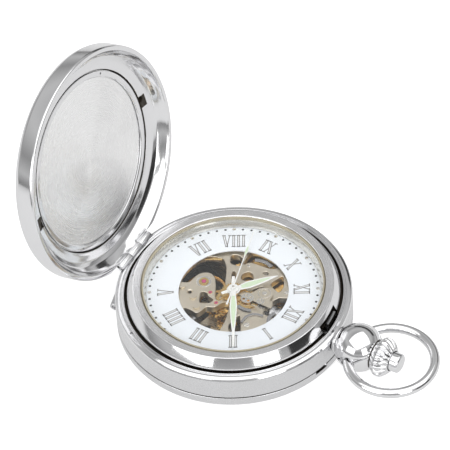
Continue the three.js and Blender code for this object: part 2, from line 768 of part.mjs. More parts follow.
function mainspringBarrel() {
  const drum = turned(
    [[1, 3.75], [7, 3.75], [7, 5.25], [1, 5.25], [1, 5.08], [6.75, 5.08], [6.75, 3.95], [1, 3.95]],
    { ...BARREL, steps: 24 },
  );
  const teeth = plate(
    wheelOutline(BARREL, barrelR, TEETH.barrel, bearing(BARREL, CENTRE)),
    4.95,
    5.25,
    [circle(BARREL, 6.9, 24)],
  );
  return join(drum, teeth);
}

function mainspring() {
  const line = [];
  const steps = 56;
  for (let i = 0; i <= steps; i++) {
    const p = polar(1.6 + (4.9 * i) / steps, i * 30);
    line.push([BARREL.x + p.x, BARREL.y + p.y]);
  }
  return plate(ribbon(line, 0.3), 4.02, 5);
}

function centreWheel() {
  const wheel = {
    r: centreR,
    teeth: TEETH.centreWheel,
    phase: bearing(CENTRE, THIRD),
    low: 5.35,
    high: 5.5,
  };
  const pinionPhase = matingPhase(BARREL, TEETH.barrel, bearing(BARREL, CENTRE), CENTRE, TEETH.centrePinion);
  const pinion = { r: centrePinionR, teeth: TEETH.centrePinion, phase: pinionPhase, low: 4.95, high: 5.4 };
  const arbor = { low: 4.8, high: 8.88 };
  const made = wheelWithPinion({ at: CENTRE, wheel, pinion, arbor, arborR: 0.42, spokes: 5 });
  return cut(made, cylinder(CENTRE, 0.27, 4, 10, 8));
}

function thirdWheel() {
  const phase = matingPhase(CENTRE, TEETH.centreWheel, bearing(CENTRE, THIRD), THIRD, TEETH.thirdPinion);
  const wheel = { r: thirdR, teeth: TEETH.thirdWheel, phase: bearing(THIRD, CENTRE), low: 3.45, high: 3.6 };
  const pinion = { r: thirdPinionR, teeth: TEETH.thirdPinion, phase, low: 5.3, high: 5.55 };
  return wheelWithPinion({ at: THIRD, wheel, pinion });
}

function fourthWheel() {
  const phase = matingPhase(THIRD, TEETH.thirdWheel, bearing(THIRD, CENTRE), CENTRE, TEETH.fourthPinion);
  const wheel = {
    r: fourthR,
    teeth: TEETH.fourthWheel,
    phase: bearing(CENTRE, ESCAPE),
    low: 3.15,
    high: 3.3,
  };
  const pinion = { r: fourthPinionR, teeth: TEETH.fourthPinion, phase, low: 3.4, high: 3.65 };
  return wheelWithPinion({ at: CENTRE, wheel, pinion, arbor: { low: 2.45, high: 9.32 } });
}

function escapeWheel() {
  const phase = matingPhase(CENTRE, TEETH.fourthWheel, bearing(CENTRE, ESCAPE), ESCAPE, TEETH.escapePinion);
  const outline = [];
  for (let i = 0; i < TEETH.escape; i++) {
    for (const [radius, share] of [[1.55, 0], [2.02, 0.3], [2.05, 0.5], [1.55, 0.45]]) {
      const p = polar(radius, ((i + share) * 360) / TEETH.escape);
      outline.push([ESCAPE.x + p.x, ESCAPE.y + p.y]);
    }
  }
  return join(
    plate(outline, ESCAPEMENT.low, ESCAPEMENT.high, spokeWindows(ESCAPE, 0.45, 1.25, 4, 0.12)),
    plate(pinionOutline(ESCAPE, escapePinionR, TEETH.escapePinion, phase), 3.1, 3.36),
    cylinder(ESCAPE, ARBOR_R, PIVOT.low, PIVOT.high),
  );
}

function palletFork() {
  const toEscape = THREE.MathUtils.radToDeg(bearing(PALLET, ESCAPE));
  const reach = distance(PALLET, ESCAPE);
  const local = (along, across) => {
    const a = polar(along, toEscape);
    const b = polar(across, toEscape + 90);
    return [PALLET.x + a.x + b.x, PALLET.y + a.y + b.y];
  };
  const stoneAlong = reach - 2.14 * Math.cos(Math.PI / 6);
  const stoneAcross = 2.14 * Math.sin(Math.PI / 6);
  const lever = distance(PALLET, BALANCE) - 1.2;
  const outline = [
    local(0.35, 0),
    local(stoneAlong, stoneAcross),
    local(stoneAlong - 0.1, stoneAcross + 0.3),
    local(-0.25, 0.35),
    local(-lever + 0.5, 0.14),
    local(-lever, 0.4),
    local(-lever, 0.2),
    local(-lever + 0.35, 0),
    local(-lever, -0.2),
    local(-lever, -0.4),
    local(-lever + 0.5, -0.14),
    local(-0.25, -0.35),
    local(stoneAlong - 0.1, -stoneAcross - 0.3),
    local(stoneAlong, -stoneAcross),
  ];
  return join(
    plate(outline, ESCAPEMENT.low, ESCAPEMENT.high),
    cylinder(PALLET, ARBOR_R, PALLET_BRIDGE.high + 0.05, PIVOT.high),
  );
}

function balanceWheel() {
  const { x, y } = BALANCE;
  const rim = tube(BALANCE, BALANCE_RIM.inner, BALANCE_RIM.outer, BALANCE_RIM.low, BALANCE_RIM.high, 32);
  const spokes = [35, 155, 275].map((degrees) => {
    const p = polar(4.5, degrees);
    return plate(ribbon([[x, y], [x + p.x, y + p.y]], 0.55), BALANCE_SPOKE.low, BALANCE_SPOKE.high);
  });
  const pinAt = polar(0.8, THREE.MathUtils.radToDeg(bearing(BALANCE, PALLET)));
  return join(
    rim,
    ...spokes,
    cylinder(BALANCE, 0.6, 3.8, 4.25),
    cylinder(BALANCE, 0.18, PIVOT.low, 7.2),
    cylinder(BALANCE, 1, 4.35, 4.5, 16),
    cylinder({ x: x + pinAt.x, y: y + pinAt.y }, 0.12, 4.4, ESCAPEMENT.high, 6),
  );
}

function hairspring() {
  const line = [];
  const steps = 48;
  for (let i = 0; i <= steps; i++) {
    const p = polar(0.7 + (1.8 * i) / steps, i * 30);
    line.push([BALANCE.x + p.x, BALANCE.y + p.y]);
  }
  return plate(ribbon(line, 0.1), 3.3, 3.5);
}

add("mainspring_barrel", mainspringBarrel(), MATERIAL.brass);
add("mainspring", mainspring(), MATERIAL.springSteel);
add("centre_wheel", centreWheel(), MATERIAL.brass);
add("third_wheel", thirdWheel(), MATERIAL.brass);
add("fourth_wheel", fourthWheel(), MATERIAL.brass);
add("escape_wheel", escapeWheel(), MATERIAL.brass);
add("pallet_fork", palletFork(), MATERIAL.springSteel);
add("balance_wheel", balanceWheel(), MATERIAL.copper);
add("hairspring", hairspring(), MATERIAL.springSteel);

// ---- Plates and bridges ----

// Windows of the main plate, seen from the dial side. All but two show through the dial's aperture.
const PLATE_WINDOWS = {
  balance: [
    [-11.6, -1.75], [-11.9, 1.5], [-11, 5.2], [-9.2, 6.8], [-7, 7.25], [-5.6, 6.3], [-4.4, 4.5], [-3.5, 2.6],
    [-2.4, 0.6], [-1.5, -1.8], [-1.5, -2.9], [-2.5, -2.9], [-3.4, -1.6], [-4.1, -0.2], [-5, 1.2], [-5.8, 2.2],
    [-7.1, 2.7], [-8.3, 2.2], [-9.1, 1.2], [-9.4, -0.2], [-9.6, -1.4], [-10.4, -1.9],
  ],
  pallet: [[-6.1, -2.7], [-5, -2.3], [-4.2, -2.9], [-2.9, -3.3], [-3.1, -4.4], [-4.4, -5.2], [-5.2, -4.9]],
  third: [
    [-7, -8.2], [-5.5, -7.9], [-4, -8], [-3.4, -6.8], [-3.1, -5.7], [-1.6, -4.9], [-0.9, -3.4], [-0.3, -2.7],
    [0.6, -2.7], [1.3, -4.4], [2.1, -7], [2.4, -9], [2.5, -11.6], [0, -12.2], [-3, -12], [-6, -10.3],
  ],
  bar: [[3.8, -4.8], [4.5, -5.1], [6.3, -8.2], [5.6, -8.9], [4.6, -9.4], [3.4, -7.6]],
  keyless: [
    [7.9, -1.95], [7.3, 0], [7.9, 1.95], [8.6, 3.4], [10.3, 4.2], [10.8, 1.95], [13.4, 1.95], [13.4, -1.95],
  ],
  stud: [[5.3, 5.8], [5.6, 7.5], [6.4, 8.8], [7.8, 6.6], [7.9, 4.8], [6.9, 4.9]],
  barrel: [[-1.2, 5.4], [-0.5, 6.6], [0.5, 6.6], [1.1, 6], [1.6, 4.9], [0.8, 4.4], [-0.6, 4.2]],
  square: [[-5.6, 9.2], [-4.4, 9.7], [-3, 9], [-2.7, 7.4], [-4.7, 7], [-5.6, 8.3]],
  slit: [[-3.2, 5.5], [-2.4, 5], [-2, 3.8], [-2.5, 3.4], [-3.2, 4.7]],
  top: [[-2.4, 8.1], [-1.2, 9.1], [3.1, 9.5], [4.2, 10.6], [4, 11.8], [0, 12.4], [-2.6, 11.9]],
  side: [[2.7, 2.7], [4.3, 4.6], [4.6, 3], [3.6, 2.5]],
  lever: [[13.7, -0.9], [16.2, -0.9], [16.2, 0.9], [13.7, 0.9]],
};

const STEADY_HOLES = [
  { x: -8.2, y: -3.6 },
  { x: -6.8, y: -4.7 },
  { x: -4.8, y: -6.7 },
  { x: -10.3, y: -3.2 },
  { x: 2.7, y: 6.5 },
];

function pivotHoles(...arbors) {
  return arbors.map((arbor) => circle(arbor, ARBOR_R + 0.08, 8));
}

// The same piece with windows cut through it.
function pierce(piece, outlines, low, high) {
  return cut(piece, ...outlines.map((outline) => plate(outline, low - 1, high + 1)));
}

function mainPlate() {
  const disc = plate(circle(CENTRE, MOVEMENT_R, RING_STEPS), PLATE.low, PLATE.high);
  const holes = [
    circle(CENTRE, 0.75),
    circle(BARREL, 0.58),
    circle(BALANCE, 0.5),
    ...pivotHoles(PALLET, ESCAPE, THIRD),
    ...STEADY_HOLES.map((hole) => circle(hole, 0.4, 10)),
  ];
  const windows = Object.values(PLATE_WINDOWS);
  return cut(pierce(disc, [...windows, ...holes], PLATE.low, PLATE.high), cylinderX(STEM_BORE_R, 7, 19));
}

// A bridge with posts that stand against the main plate.
function bridge(outline, holes, posts) {
  const made = pierce(plate(outline, BRIDGE.low, BRIDGE.high), holes, BRIDGE.low, BRIDGE.high);
  return join(made, ...posts.map((post) => cylinder(post, 1.1, BRIDGE.high - 0.1, PLATE.low - 0.03, 14)));
}

const BRIDGE_POSTS = {
  barrel: [{ x: -9.5, y: 11.5 }, { x: 13.5, y: 7 }, { x: 15.4, y: 0 }],
  train: [{ x: 10.5, y: -10.5 }, { x: -3.5, y: -13.5 }],
  balance: [{ x: -13.6, y: -6.6 }],
};

function barrelBridge() {
  const outline = [
    ...arc(CENTRE, 17.2, -6, 148, 22),
    [-9, 7.2],
    ...arc(BARREL, 6.6, 205, 268, 6),
    [7.2, -1.6],
    [9.6, -2.4],
  ];
  return bridge(outline, [circle(BARREL, 0.95), circle(CROWN_WHEEL, 0.8)], BRIDGE_POSTS.barrel);
}

function trainBridge() {
  const outline = [
    ...arc(CENTRE, 17.2, -112, -28, 14),
    [8.4, -4.2],
    [5.2, -2.4],
    ...arc(CENTRE, 1.6, 0, 150, 6),
    [-3.3, -2.9],
    [-3.7, -5.4],
  ];
  const windows = [
    smooth([[1, -7.5], [4.5, -8.4], [7.5, -7], [10, -8], [8, -10.8], [4, -13.5], [0, -13]], 18),
    smooth([[-2, -6.4], [-1.2, -8.4], [-2.2, -10.6], [-3.6, -9]], 12),
  ];
  return bridge(outline, [...pivotHoles(CENTRE, THIRD, ESCAPE), ...windows], BRIDGE_POSTS.train);
}

function balanceBridge() {
  const outline = [
    ...arc(CENTRE, 17.2, 183, 222, 7),
    [-10.4, -6.4],
    [-8.9, -2.4],
    ...arc(BALANCE, 1.6, -110, 110, 9),
    [-9.4, 1.1],
    [-12.4, -0.4],
  ];
  return bridge(outline, pivotHoles(BALANCE), BRIDGE_POSTS.balance);
}

function palletBridge() {
  const foot = { x: -7, y: -6.2 };
  const outline = [...arc(PALLET, 0.55, -60, 130, 6), ...arc(foot, 0.9, 130, 310, 6)];
  const made = plate(outline, PALLET_BRIDGE.low, PALLET_BRIDGE.high);
  return join(made, cylinder(foot, 0.8, 4.6, PLATE.low - 0.03));
}

// A slotted cheese-head screw on the back of a bridge.
function bridgeScrew({ x, y }, slotDeg) {
  const head = cylinder({ x, y }, 0.95, 1.85, 2.3, 16);
  const a = polar(1.2, slotDeg);
  const slot = plate(ribbon([[x - a.x, y - a.y], [x + a.x, y + a.y]], 0.3), 1.7, 2);
  return cut(head, slot);
}

add("main_plate", mainPlate(), MATERIAL.champagne);
add("barrel_bridge", barrelBridge(), MATERIAL.nickel);
add("train_bridge", trainBridge(), MATERIAL.nickel);
add("balance_bridge", balanceBridge(), MATERIAL.nickel);
add("pallet_bridge", palletBridge(), MATERIAL.nickel);
add("balance_jewel_setting", tube(BALANCE, 0.5, 1, 7.34, 7.5, 20), MATERIAL.brass);
add("balance_jewel", cylinder(BALANCE, 0.44, 7.3, 7.52, 14), MATERIAL.ruby);
add("barrel_bridge_screw", bridgeScrew(BRIDGE_POSTS.barrel[1], 30), MATERIAL.springSteel);
add("train_bridge_screw", bridgeScrew(BRIDGE_POSTS.train[0], 75), MATERIAL.springSteel);
add("balance_bridge_screw", bridgeScrew(BRIDGE_POSTS.balance[0], 120), MATERIAL.springSteel);

// ---- Motion works and hands ----

const [cannonR, minuteWheelR] = pitchRadii(distance(CENTRE, MINUTE_WHEEL), TEETH.cannon, TEETH.minuteWheel);
const [minutePinionR, hourWheelR] = pitchRadii(
  distance(CENTRE, MINUTE_WHEEL), TEETH.minutePinion, TEETH.hourWheel,
);
const settingR = (minuteWheelR * TEETH.setting) / TEETH.minuteWheel;
const SETTING_WHEEL = {
  x: MINUTE_WHEEL.x + Math.sqrt((minuteWheelR + settingR) ** 2 - MINUTE_WHEEL.y ** 2),
  y: 0,
};
const towardsMinuteWheel = bearing(CENTRE, MINUTE_WHEEL);
const minuteWheelPhase = matingPhase(
  CENTRE, TEETH.cannon, towardsMinuteWheel, MINUTE_WHEEL, TEETH.minuteWheel,
);

function cannonPinion() {
  const leaves = plate(pinionOutline(CENTRE, cannonR, TEETH.cannon, towardsMinuteWheel), 7.36, 7.54);
  return cut(join(leaves, cylinder(CENTRE, 0.65, 7.36, 8.9)), cylinder(CENTRE, 0.47, 7, 10));
}

function minuteWheel() {
  const wheel = plate(
    wheelOutline(MINUTE_WHEEL, minuteWheelR, TEETH.minuteWheel, minuteWheelPhase),
    7.38,
    7.5,
  );
  const phase = bearing(MINUTE_WHEEL, CENTRE);
  return join(wheel, plate(pinionOutline(MINUTE_WHEEL, minutePinionR, TEETH.minutePinion, phase), 7.45, 7.8));
}

function hourWheel() {
  const phase = matingPhase(
    MINUTE_WHEEL, TEETH.minutePinion, bearing(MINUTE_WHEEL, CENTRE), CENTRE, TEETH.hourWheel,
  );
  const wheel = plate(wheelOutline(CENTRE, hourWheelR, TEETH.hourWheel, phase), 7.6, 7.74);
  return cut(join(wheel, cylinder(CENTRE, 1, 7.65, 8.46, 16)), cylinder(CENTRE, 0.72, 7, 9, 14));
}

function settingWheel() {
  const phase = matingPhase(
    MINUTE_WHEEL, TEETH.minuteWheel, minuteWheelPhase, SETTING_WHEEL, TEETH.setting,
  );
  return plate(pinionOutline(SETTING_WHEEL, settingR, TEETH.setting, phase), 7.38, 7.52, [
    circle(SETTING_WHEEL, 0.3, 8),
  ]);
}

// A pointed hand: half widths at distances along it, on a round hub.
function hand({ pointsTo, sides, hubR, boreR, low, high }) {
  const axis = THREE.MathUtils.degToRad(pointsTo);
  const place = (along, across) => [
    along * Math.cos(axis) - across * Math.sin(axis),
    along * Math.sin(axis) + across * Math.cos(axis),
  ];
  const left = sides.map(([along, half]) => place(along, half));
  const right = sides.map(([along, half]) => place(along, -half)).reverse();
  return cut(
    join(plate([...left, ...right], low, high), cylinder(CENTRE, hubR, low, high, 20)),
    cylinder(CENTRE, boreR, low - 1, high + 1),
  );
}

const HOUR_HAND_DEG = 51.5;
const MINUTE_HAND_DEG = -60;
const SECOND_HAND_DEG = 104.8;

add("cannon_pinion", cannonPinion(), MATERIAL.springSteel);
add("minute_wheel", minuteWheel(), MATERIAL.brass);
add("hour_wheel", hourWheel(), MATERIAL.brass);
add("setting_wheel", settingWheel(), MATERIAL.springSteel);
add(
  "hour_hand",
  hand({
    pointsTo: HOUR_HAND_DEG,
    sides: [[-2.6, 0.25], [0.5, 0.35], [3.6, 0.95], [9.9, 0.05]],
    hubR: 1.35,
    boreR: 0.72,
    low: 8.5,
    high: 8.65,
  }),
  MATERIAL.handWhite,
);
add(
  "minute_hand",
  hand({
    pointsTo: MINUTE_HAND_DEG,
    sides: [[-3.2, 0.25], [0.5, 0.3], [4.6, 0.72], [10, 0.28], [15.9, 0.2]],
    hubR: 1.1,
    boreR: 0.3,
    low: 8.94,
    high: 9.08,
  }),
  MATERIAL.handWhite,
);
add(
  "second_hand",
  hand({
    pointsTo: SECOND_HAND_DEG,
    sides: [[-5, 0.16], [9, 0.1], [10.3, 0.32], [11.6, 0.1], [16.1, 0.07]],
    hubR: 0.55,
    boreR: 0.19,
    low: 9.35,
    high: 9.45,
  }),
  MATERIAL.handWhite,
);

export default watch;
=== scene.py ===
"""The visual model of a hunter-cased skeleton pocket watch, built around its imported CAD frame.

Lengths are in millimetres until a mesh is made. +Z is up out of the dial and +X points to 12 o'clock.
"""

import json
import math
import random

import bmesh
import bpy
from mathutils import Matrix, Vector


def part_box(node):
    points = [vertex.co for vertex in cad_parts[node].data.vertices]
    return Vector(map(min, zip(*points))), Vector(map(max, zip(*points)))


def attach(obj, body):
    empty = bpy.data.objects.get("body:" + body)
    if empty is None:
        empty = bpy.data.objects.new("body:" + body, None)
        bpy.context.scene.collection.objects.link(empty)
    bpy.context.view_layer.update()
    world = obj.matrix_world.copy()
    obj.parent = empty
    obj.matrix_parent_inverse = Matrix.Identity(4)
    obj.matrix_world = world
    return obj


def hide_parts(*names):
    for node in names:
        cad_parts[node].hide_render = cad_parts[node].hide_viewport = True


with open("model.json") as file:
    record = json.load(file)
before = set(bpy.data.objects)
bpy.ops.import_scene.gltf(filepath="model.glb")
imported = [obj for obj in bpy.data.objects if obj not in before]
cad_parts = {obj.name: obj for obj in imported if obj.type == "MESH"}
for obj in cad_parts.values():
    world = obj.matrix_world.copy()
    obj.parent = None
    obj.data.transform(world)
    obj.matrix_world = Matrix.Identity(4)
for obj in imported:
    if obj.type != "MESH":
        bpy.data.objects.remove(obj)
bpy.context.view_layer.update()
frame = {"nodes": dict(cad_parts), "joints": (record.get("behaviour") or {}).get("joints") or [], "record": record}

MM = 0.001
JOINTS = {joint["name"]: joint for joint in frame["joints"]}
Z_AXIS = Vector((0, 0, 1))


# ---- Sizes taken from the frame ----


def low(node):
    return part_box(node)[0] / MM


def high(node):
    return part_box(node)[1] / MM


def radius(node):
    return (high(node).y - low(node).y) / 2


def joint_place(name):
    return Vector(JOINTS[name]["pos_m"]) / MM


CASE_R = radius("case_band")
SEAM_Z = 2.65
RIM_Z = joint_place("front_cover_hinge").z
BEZEL_R = radius("front_bezel")
BEZEL_TOP_Z = high("front_bezel").z
CRYSTAL_R = radius("crystal")
DIAL_Z = high("dial").z
DIAL_R = radius("dial")
APERTURE_R = 11.12
PLATE_R = radius("main_plate")
PLATE_Z = high("main_plate").z
PLATE_LOW_Z = low("main_plate").z
STEM_Z = joint_place("crown_turn").z
FRONT_HINGE = joint_place("front_cover_hinge")
REAR_HINGE = joint_place("rear_cover_hinge")
BOW_PIVOT = joint_place("bow_swing")
KNUCKLE_R = 0.85
KNUCKLE_HALF = 1.75
KNUCKLE_GAP = 0.1
FRONT_HINGE_HALF = 5.5
REAR_HINGE_HALF = 5
COVER_OPEN = math.radians(-JOINTS["front_cover_hinge"]["range_deg"][0])
REAR_HINGE_TURN = math.atan2(-REAR_HINGE.y, -REAR_HINGE.x)
HAND_ANGLES = {
    name: math.atan2(*reversed(tip))
    for name, tip in {
        "hour_hand": (high("hour_hand").x, high("hour_hand").y),
        "minute_hand": (high("minute_hand").x, low("minute_hand").y),
        "second_hand": (low("second_hand").x, high("second_hand").y),
    }.items()
}

FINE = 180  # steps round a large turned piece
MEDIUM = 72
SMALL = 32
ROUND_EDGE = 0.12
SHARP_ANGLE = math.radians(32)
PIN_ROOM_R = 0.42


# ---- Mesh helpers ----


def object_from(name, points, faces):
    """A mesh object from points in millimetres."""
    mesh = bpy.data.meshes.new(name)
    mesh.from_pydata([Vector(p) * MM for p in points], [], faces)
    mesh.update()
    piece = bpy.data.objects.new(name, mesh)
    bpy.context.scene.collection.objects.link(piece)
    outward(piece)
    return piece


def outward(piece):
    shape = bmesh.new()
    shape.from_mesh(piece.data)
    bmesh.ops.remove_doubles(shape, verts=shape.verts, dist=1e-7)
    bmesh.ops.recalc_face_normals(shape, faces=shape.faces)
    shape.to_mesh(piece.data)
    shape.free()


def rounded(profile, reach=ROUND_EDGE, steps=4, closed=True):
    """The same profile with each corner turned into a short curve."""
    made = []
    count = len(profile)
    for i, corner in enumerate(profile):
        if not closed and i in (0, count - 1):
            made.append(corner)
            continue
        here = Vector(corner)
        before = Vector(profile[i - 1]) - here
        after = Vector(profile[(i + 1) % count]) - here
        start = here + before.normalized() * min(reach, before.length * 0.45)
        end = here + after.normalized() * min(reach, after.length * 0.45)
        for k in range(steps + 1):
            t = k / steps
            point = start * (1 - t) ** 2 + here * 2 * t * (1 - t) + end * t**2
            made.append((point.x, point.y))
    return made


def lathe(name, profile, steps=FINE, centre=(0, 0), closed=True):
    """A body of revolution about Z from (radius, z) points; an open profile starts and ends on the axis."""
    points, rings, faces = [], [], []
    for r, z in profile:
        if r < 1e-6:
            rings.append([len(points)] * steps)
            points.append((centre[0], centre[1], z))
            continue
        rings.append(list(range(len(points), len(points) + steps)))
        for k in range(steps):
            a = 2 * math.pi * k / steps
            points.append((centre[0] + r * math.cos(a), centre[1] + r * math.sin(a), z))
    pairs = list(zip(rings, rings[1:]))
    if closed:
        pairs.append((rings[-1], rings[0]))
    for lower, upper in pairs:
        for k in range(steps):
            n = (k + 1) % steps
            corners = [lower[k], lower[n], upper[n], upper[k]]
            face = list(dict.fromkeys(corners))
            if len(face) > 2:
                faces.append(face)
    return object_from(name, points, faces)


def stitched(rows, count):
    """Faces that join each row of points, count to a row, to the next."""
    faces = []
    for here in range(0, (rows - 1) * count, count):
        there = here + count
        for k in range(count):
            n = (k + 1) % count
            faces.append((here + k, here + n, there + n, there + k))
    return faces


def turn_to(piece, matrix):
    """Bakes a placement, in millimetres, into a piece's mesh."""
    metres = matrix.copy()
    metres.translation = matrix.translation * MM
    piece.data.transform(metres)
    return piece


ON_STEM = Matrix.Translation((0, 0, STEM_Z)) @ Matrix.Rotation(math.pi / 2, 4, "Y")
ALONG_Y = Matrix.Rotation(-math.pi / 2, 4, "X")


def stem_lathe(name, profile, steps=MEDIUM, closed=True):
    """A body of revolution about the stem's axis from (x, radius) points."""
    return turn_to(lathe(name, [(r, x) for x, r in profile], steps, closed=closed), ON_STEM)


def stem_rod(name, r, start, end, steps=MEDIUM):
    """A plain rod about the stem's axis."""
    return stem_lathe(name, [(start, 0), (start, r), (end, r), (end, 0)], steps, closed=False)


def rod_y(name, x, z, r, start, end, steps=SMALL, edge=0.06):
    """A rod along Y."""
    profile = [(0, start), (r, start), (r, end), (0, end)]
    made = lathe(name, rounded(profile, edge, 3, closed=False), steps, closed=False)
    return turn_to(made, Matrix.Translation((x, 0, z)) @ ALONG_Y)


def disc(name, centre, r, bottom, top, steps=SMALL, edge=0.04):
    profile = [(0, bottom), (r, bottom), (r, top), (0, top)]
    return lathe(name, rounded(profile, edge, 2, closed=False), steps, centre, closed=False)


def ring(name, centre, inner, outer, bottom, top, steps=SMALL, edge=0.04):
    profile = [(inner, bottom), (outer, bottom), (outer, top), (inner, top)]
    return lathe(name, rounded(profile, edge, 2), steps, centre)


def block(name, xs, ys, zs):
    points = [(x, y, z) for x in xs for y in ys for z in zs]
    faces = [(0, 1, 3, 2), (4, 6, 7, 5), (0, 4, 5, 1), (2, 3, 7, 6), (0, 2, 6, 4), (1, 5, 7, 3)]
    return object_from(name, points, faces)


def plate(name, outline, bottom, top, holes=(), chamfer=0.0):
    """A flat piece with holes and a chamfer on its edges."""
    curve = bpy.data.curves.new(name, "CURVE")
    curve.dimensions = "2D"
    curve.fill_mode = "BOTH"
    curve.extrude = ((top - bottom) / 2 - chamfer) * MM
    curve.bevel_depth = chamfer * MM
    curve.bevel_resolution = 0
    curve.offset = -chamfer * MM
    for line in (outline, *holes):
        spline = curve.splines.new("POLY")
        spline.points.add(len(line) - 1)
        for point, (x, y) in zip(spline.points, line):
            point.co = (x * MM, y * MM, 0, 1)
        spline.use_cyclic_u = True
    drawn = bpy.data.objects.new(name, curve)
    bpy.context.scene.collection.objects.link(drawn)
    bpy.context.view_layer.update()
    mesh = bpy.data.meshes.new_from_object(drawn)
    bpy.data.objects.remove(drawn)
    bpy.data.curves.remove(curve)
    mesh.transform(Matrix.Translation((0, 0, (top + bottom) / 2 * MM)))
    piece = bpy.data.objects.new(name, mesh)
    bpy.context.scene.collection.objects.link(piece)
    outward(piece)
    return piece


def combine(piece, operation, others):
    for other in others:
        modifier = piece.modifiers.new("combine", "BOOLEAN")
        modifier.operation = operation
        modifier.solver = "EXACT"
        modifier.object = other
        with bpy.context.temp_override(object=piece, active_object=piece):
            bpy.ops.object.modifier_apply(modifier=modifier.name)
        bpy.data.objects.remove(other)
    return piece


def cut(piece, *others):
    return combine(piece, "DIFFERENCE", others)


def fuse(piece, *others):
    return combine(piece, "UNION", others)


def show(piece, body, slot, replaces=(), look=None):
    """Makes a piece ride on its CAD body; it has its slot's look unless another is named."""
    piece.data.materials.clear()
    piece.data.materials.append(LOOK[look or SLOT_LOOK[slot]])
    piece.data.shade_smooth()
    piece.data.set_sharp_from_angle(angle=SHARP_ANGLE)
    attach(piece, body)
    if replaces:
        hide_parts(*replaces)


def second_look(piece, look, belongs):
    """Gives another material to the faces whose middle, in millimetres, belongs."""
    piece.data.materials.append(LOOK[look])
    index = len(piece.data.materials) - 1
    for face in piece.data.polygons:
        if belongs(face.center / MM):
            face.material_index = index


# ---- Outline helpers ----


def polar(r, a):
    return (r * math.cos(a), r * math.sin(a))


def about(centre, r, degrees):
    x, y = polar(r, math.radians(degrees))
    return (centre[0] + x, centre[1] + y)


def arc(centre, r, start, end, steps):
    """Points on an arc; angles are in degrees."""
    return [about(centre, r, start + (end - start) * k / steps) for k in range(steps + 1)]


def circle(centre, r, steps=SMALL):
    return arc(centre, r, 0, 360 - 360 / steps, steps - 1)


def strip(centre, inner, outer, start, end, steps=24):
    return arc(centre, outer, start, end, steps) + arc(centre, inner, end, start, steps)


def smooth(points, steps=8, closed=True):
    """A Catmull-Rom curve through the points."""
    count = len(points)
    made = []
    for i in range(count if closed else count - 1):
        if closed:
            a, b, c, d = (Vector(points[(i + k) % count]) for k in (-1, 0, 1, 2))
        else:
            a, b, c, d = (Vector(points[min(max(i + k, 0), count - 1)]) for k in (-1, 0, 1, 2))
        for k in range(steps):
            t = k / steps
            squared = (2 * a - 5 * b + 4 * c - d) * t**2
            cubed = (3 * b - a - 3 * c + d) * t**3
            p = (2 * b + (c - a) * t + squared + cubed) / 2
            made.append((p.x, p.y))
    if not closed:
        made.append(tuple(points[-1]))
    return made


def ribbon(line, width):
    left, right = [], []
    for i, here in enumerate(line):
        before = Vector(line[max(i - 1, 0)])
        after = Vector(line[min(i + 1, len(line) - 1)])
        along = (after - before).normalized()
        side = Vector((-along.y, along.x)) * width / 2
        left.append(tuple(Vector(here) + side))
        right.append(tuple(Vector(here) - side))
    return left + right[::-1]


def gear_outline(centre, tip, root, teeth, turn=0.0):
    made = []
    for i in range(teeth):
        for r, share in ((root, -0.3), (tip, -0.12), (tip, 0.12), (root, 0.3)):
            x, y = polar(r, turn + (i + share) * 2 * math.pi / teeth)
            made.append((centre[0] + x, centre[1] + y))
    return made


# ---- Materials ----

GRAIN_STRETCH = 0.03  # how far straight grain is drawn out along X
HANDLING_SCALE = 0.25  # broad handling marks, a few millimetres across
HANDLING_SHARE = 0.35
RELIEF_DEPTH = 0.02


def set_inputs(node, **inputs):
    """Sets a node's inputs; an underscore stands for a space in an input's name."""
    for name, value in inputs.items():
        node.inputs[name.replace("_", " ")].default_value = value


def new_node(tree, kind, **inputs):
    made = tree.nodes.new("ShaderNode" + kind)
    set_inputs(made, **inputs)
    return made


def blank_material(name):
    """A new material, its node tree and its shader."""
    made = bpy.data.materials.new(name)
    made.use_nodes = True
    return made, made.node_tree, made.node_tree.nodes["Principled BSDF"]


def grain_place(tree, grain):
    """Coordinates in millimetres, bent so that noise runs along the grain."""
    link = tree.links.new
    place = new_node(tree, "TexCoord").outputs["Object"]
    scale = new_node(tree, "VectorMath")
    scale.operation = "MULTIPLY"
    scale.inputs[1].default_value = (1 / MM, 1 / MM, 1 / MM)
    link(place, scale.inputs[0])
    if grain == "none":
        return scale.outputs[0]
    apart = new_node(tree, "SeparateXYZ")
    link(scale.outputs[0], apart.inputs[0])
    joined = new_node(tree, "CombineXYZ")
    if grain == "circular":
        flat = new_node(tree, "CombineXYZ")
        link(apart.outputs["X"], flat.inputs["X"])
        link(apart.outputs["Y"], flat.inputs["Y"])
        span = new_node(tree, "VectorMath")
        span.operation = "LENGTH"
        link(flat.outputs[0], span.inputs[0])
        link(span.outputs["Value"], joined.inputs["X"])
        link(apart.outputs["Z"], joined.inputs["Z"])
    else:
        squeeze = new_node(tree, "Math")
        squeeze.operation = "MULTIPLY"
        squeeze.inputs[1].default_value = GRAIN_STRETCH
        link(apart.outputs["X"], squeeze.inputs[0])
        link(squeeze.outputs[0], joined.inputs["X"])
        link(apart.outputs["Y"], joined.inputs["Y"])
        link(apart.outputs["Z"], joined.inputs["Z"])
    return joined.outputs[0]


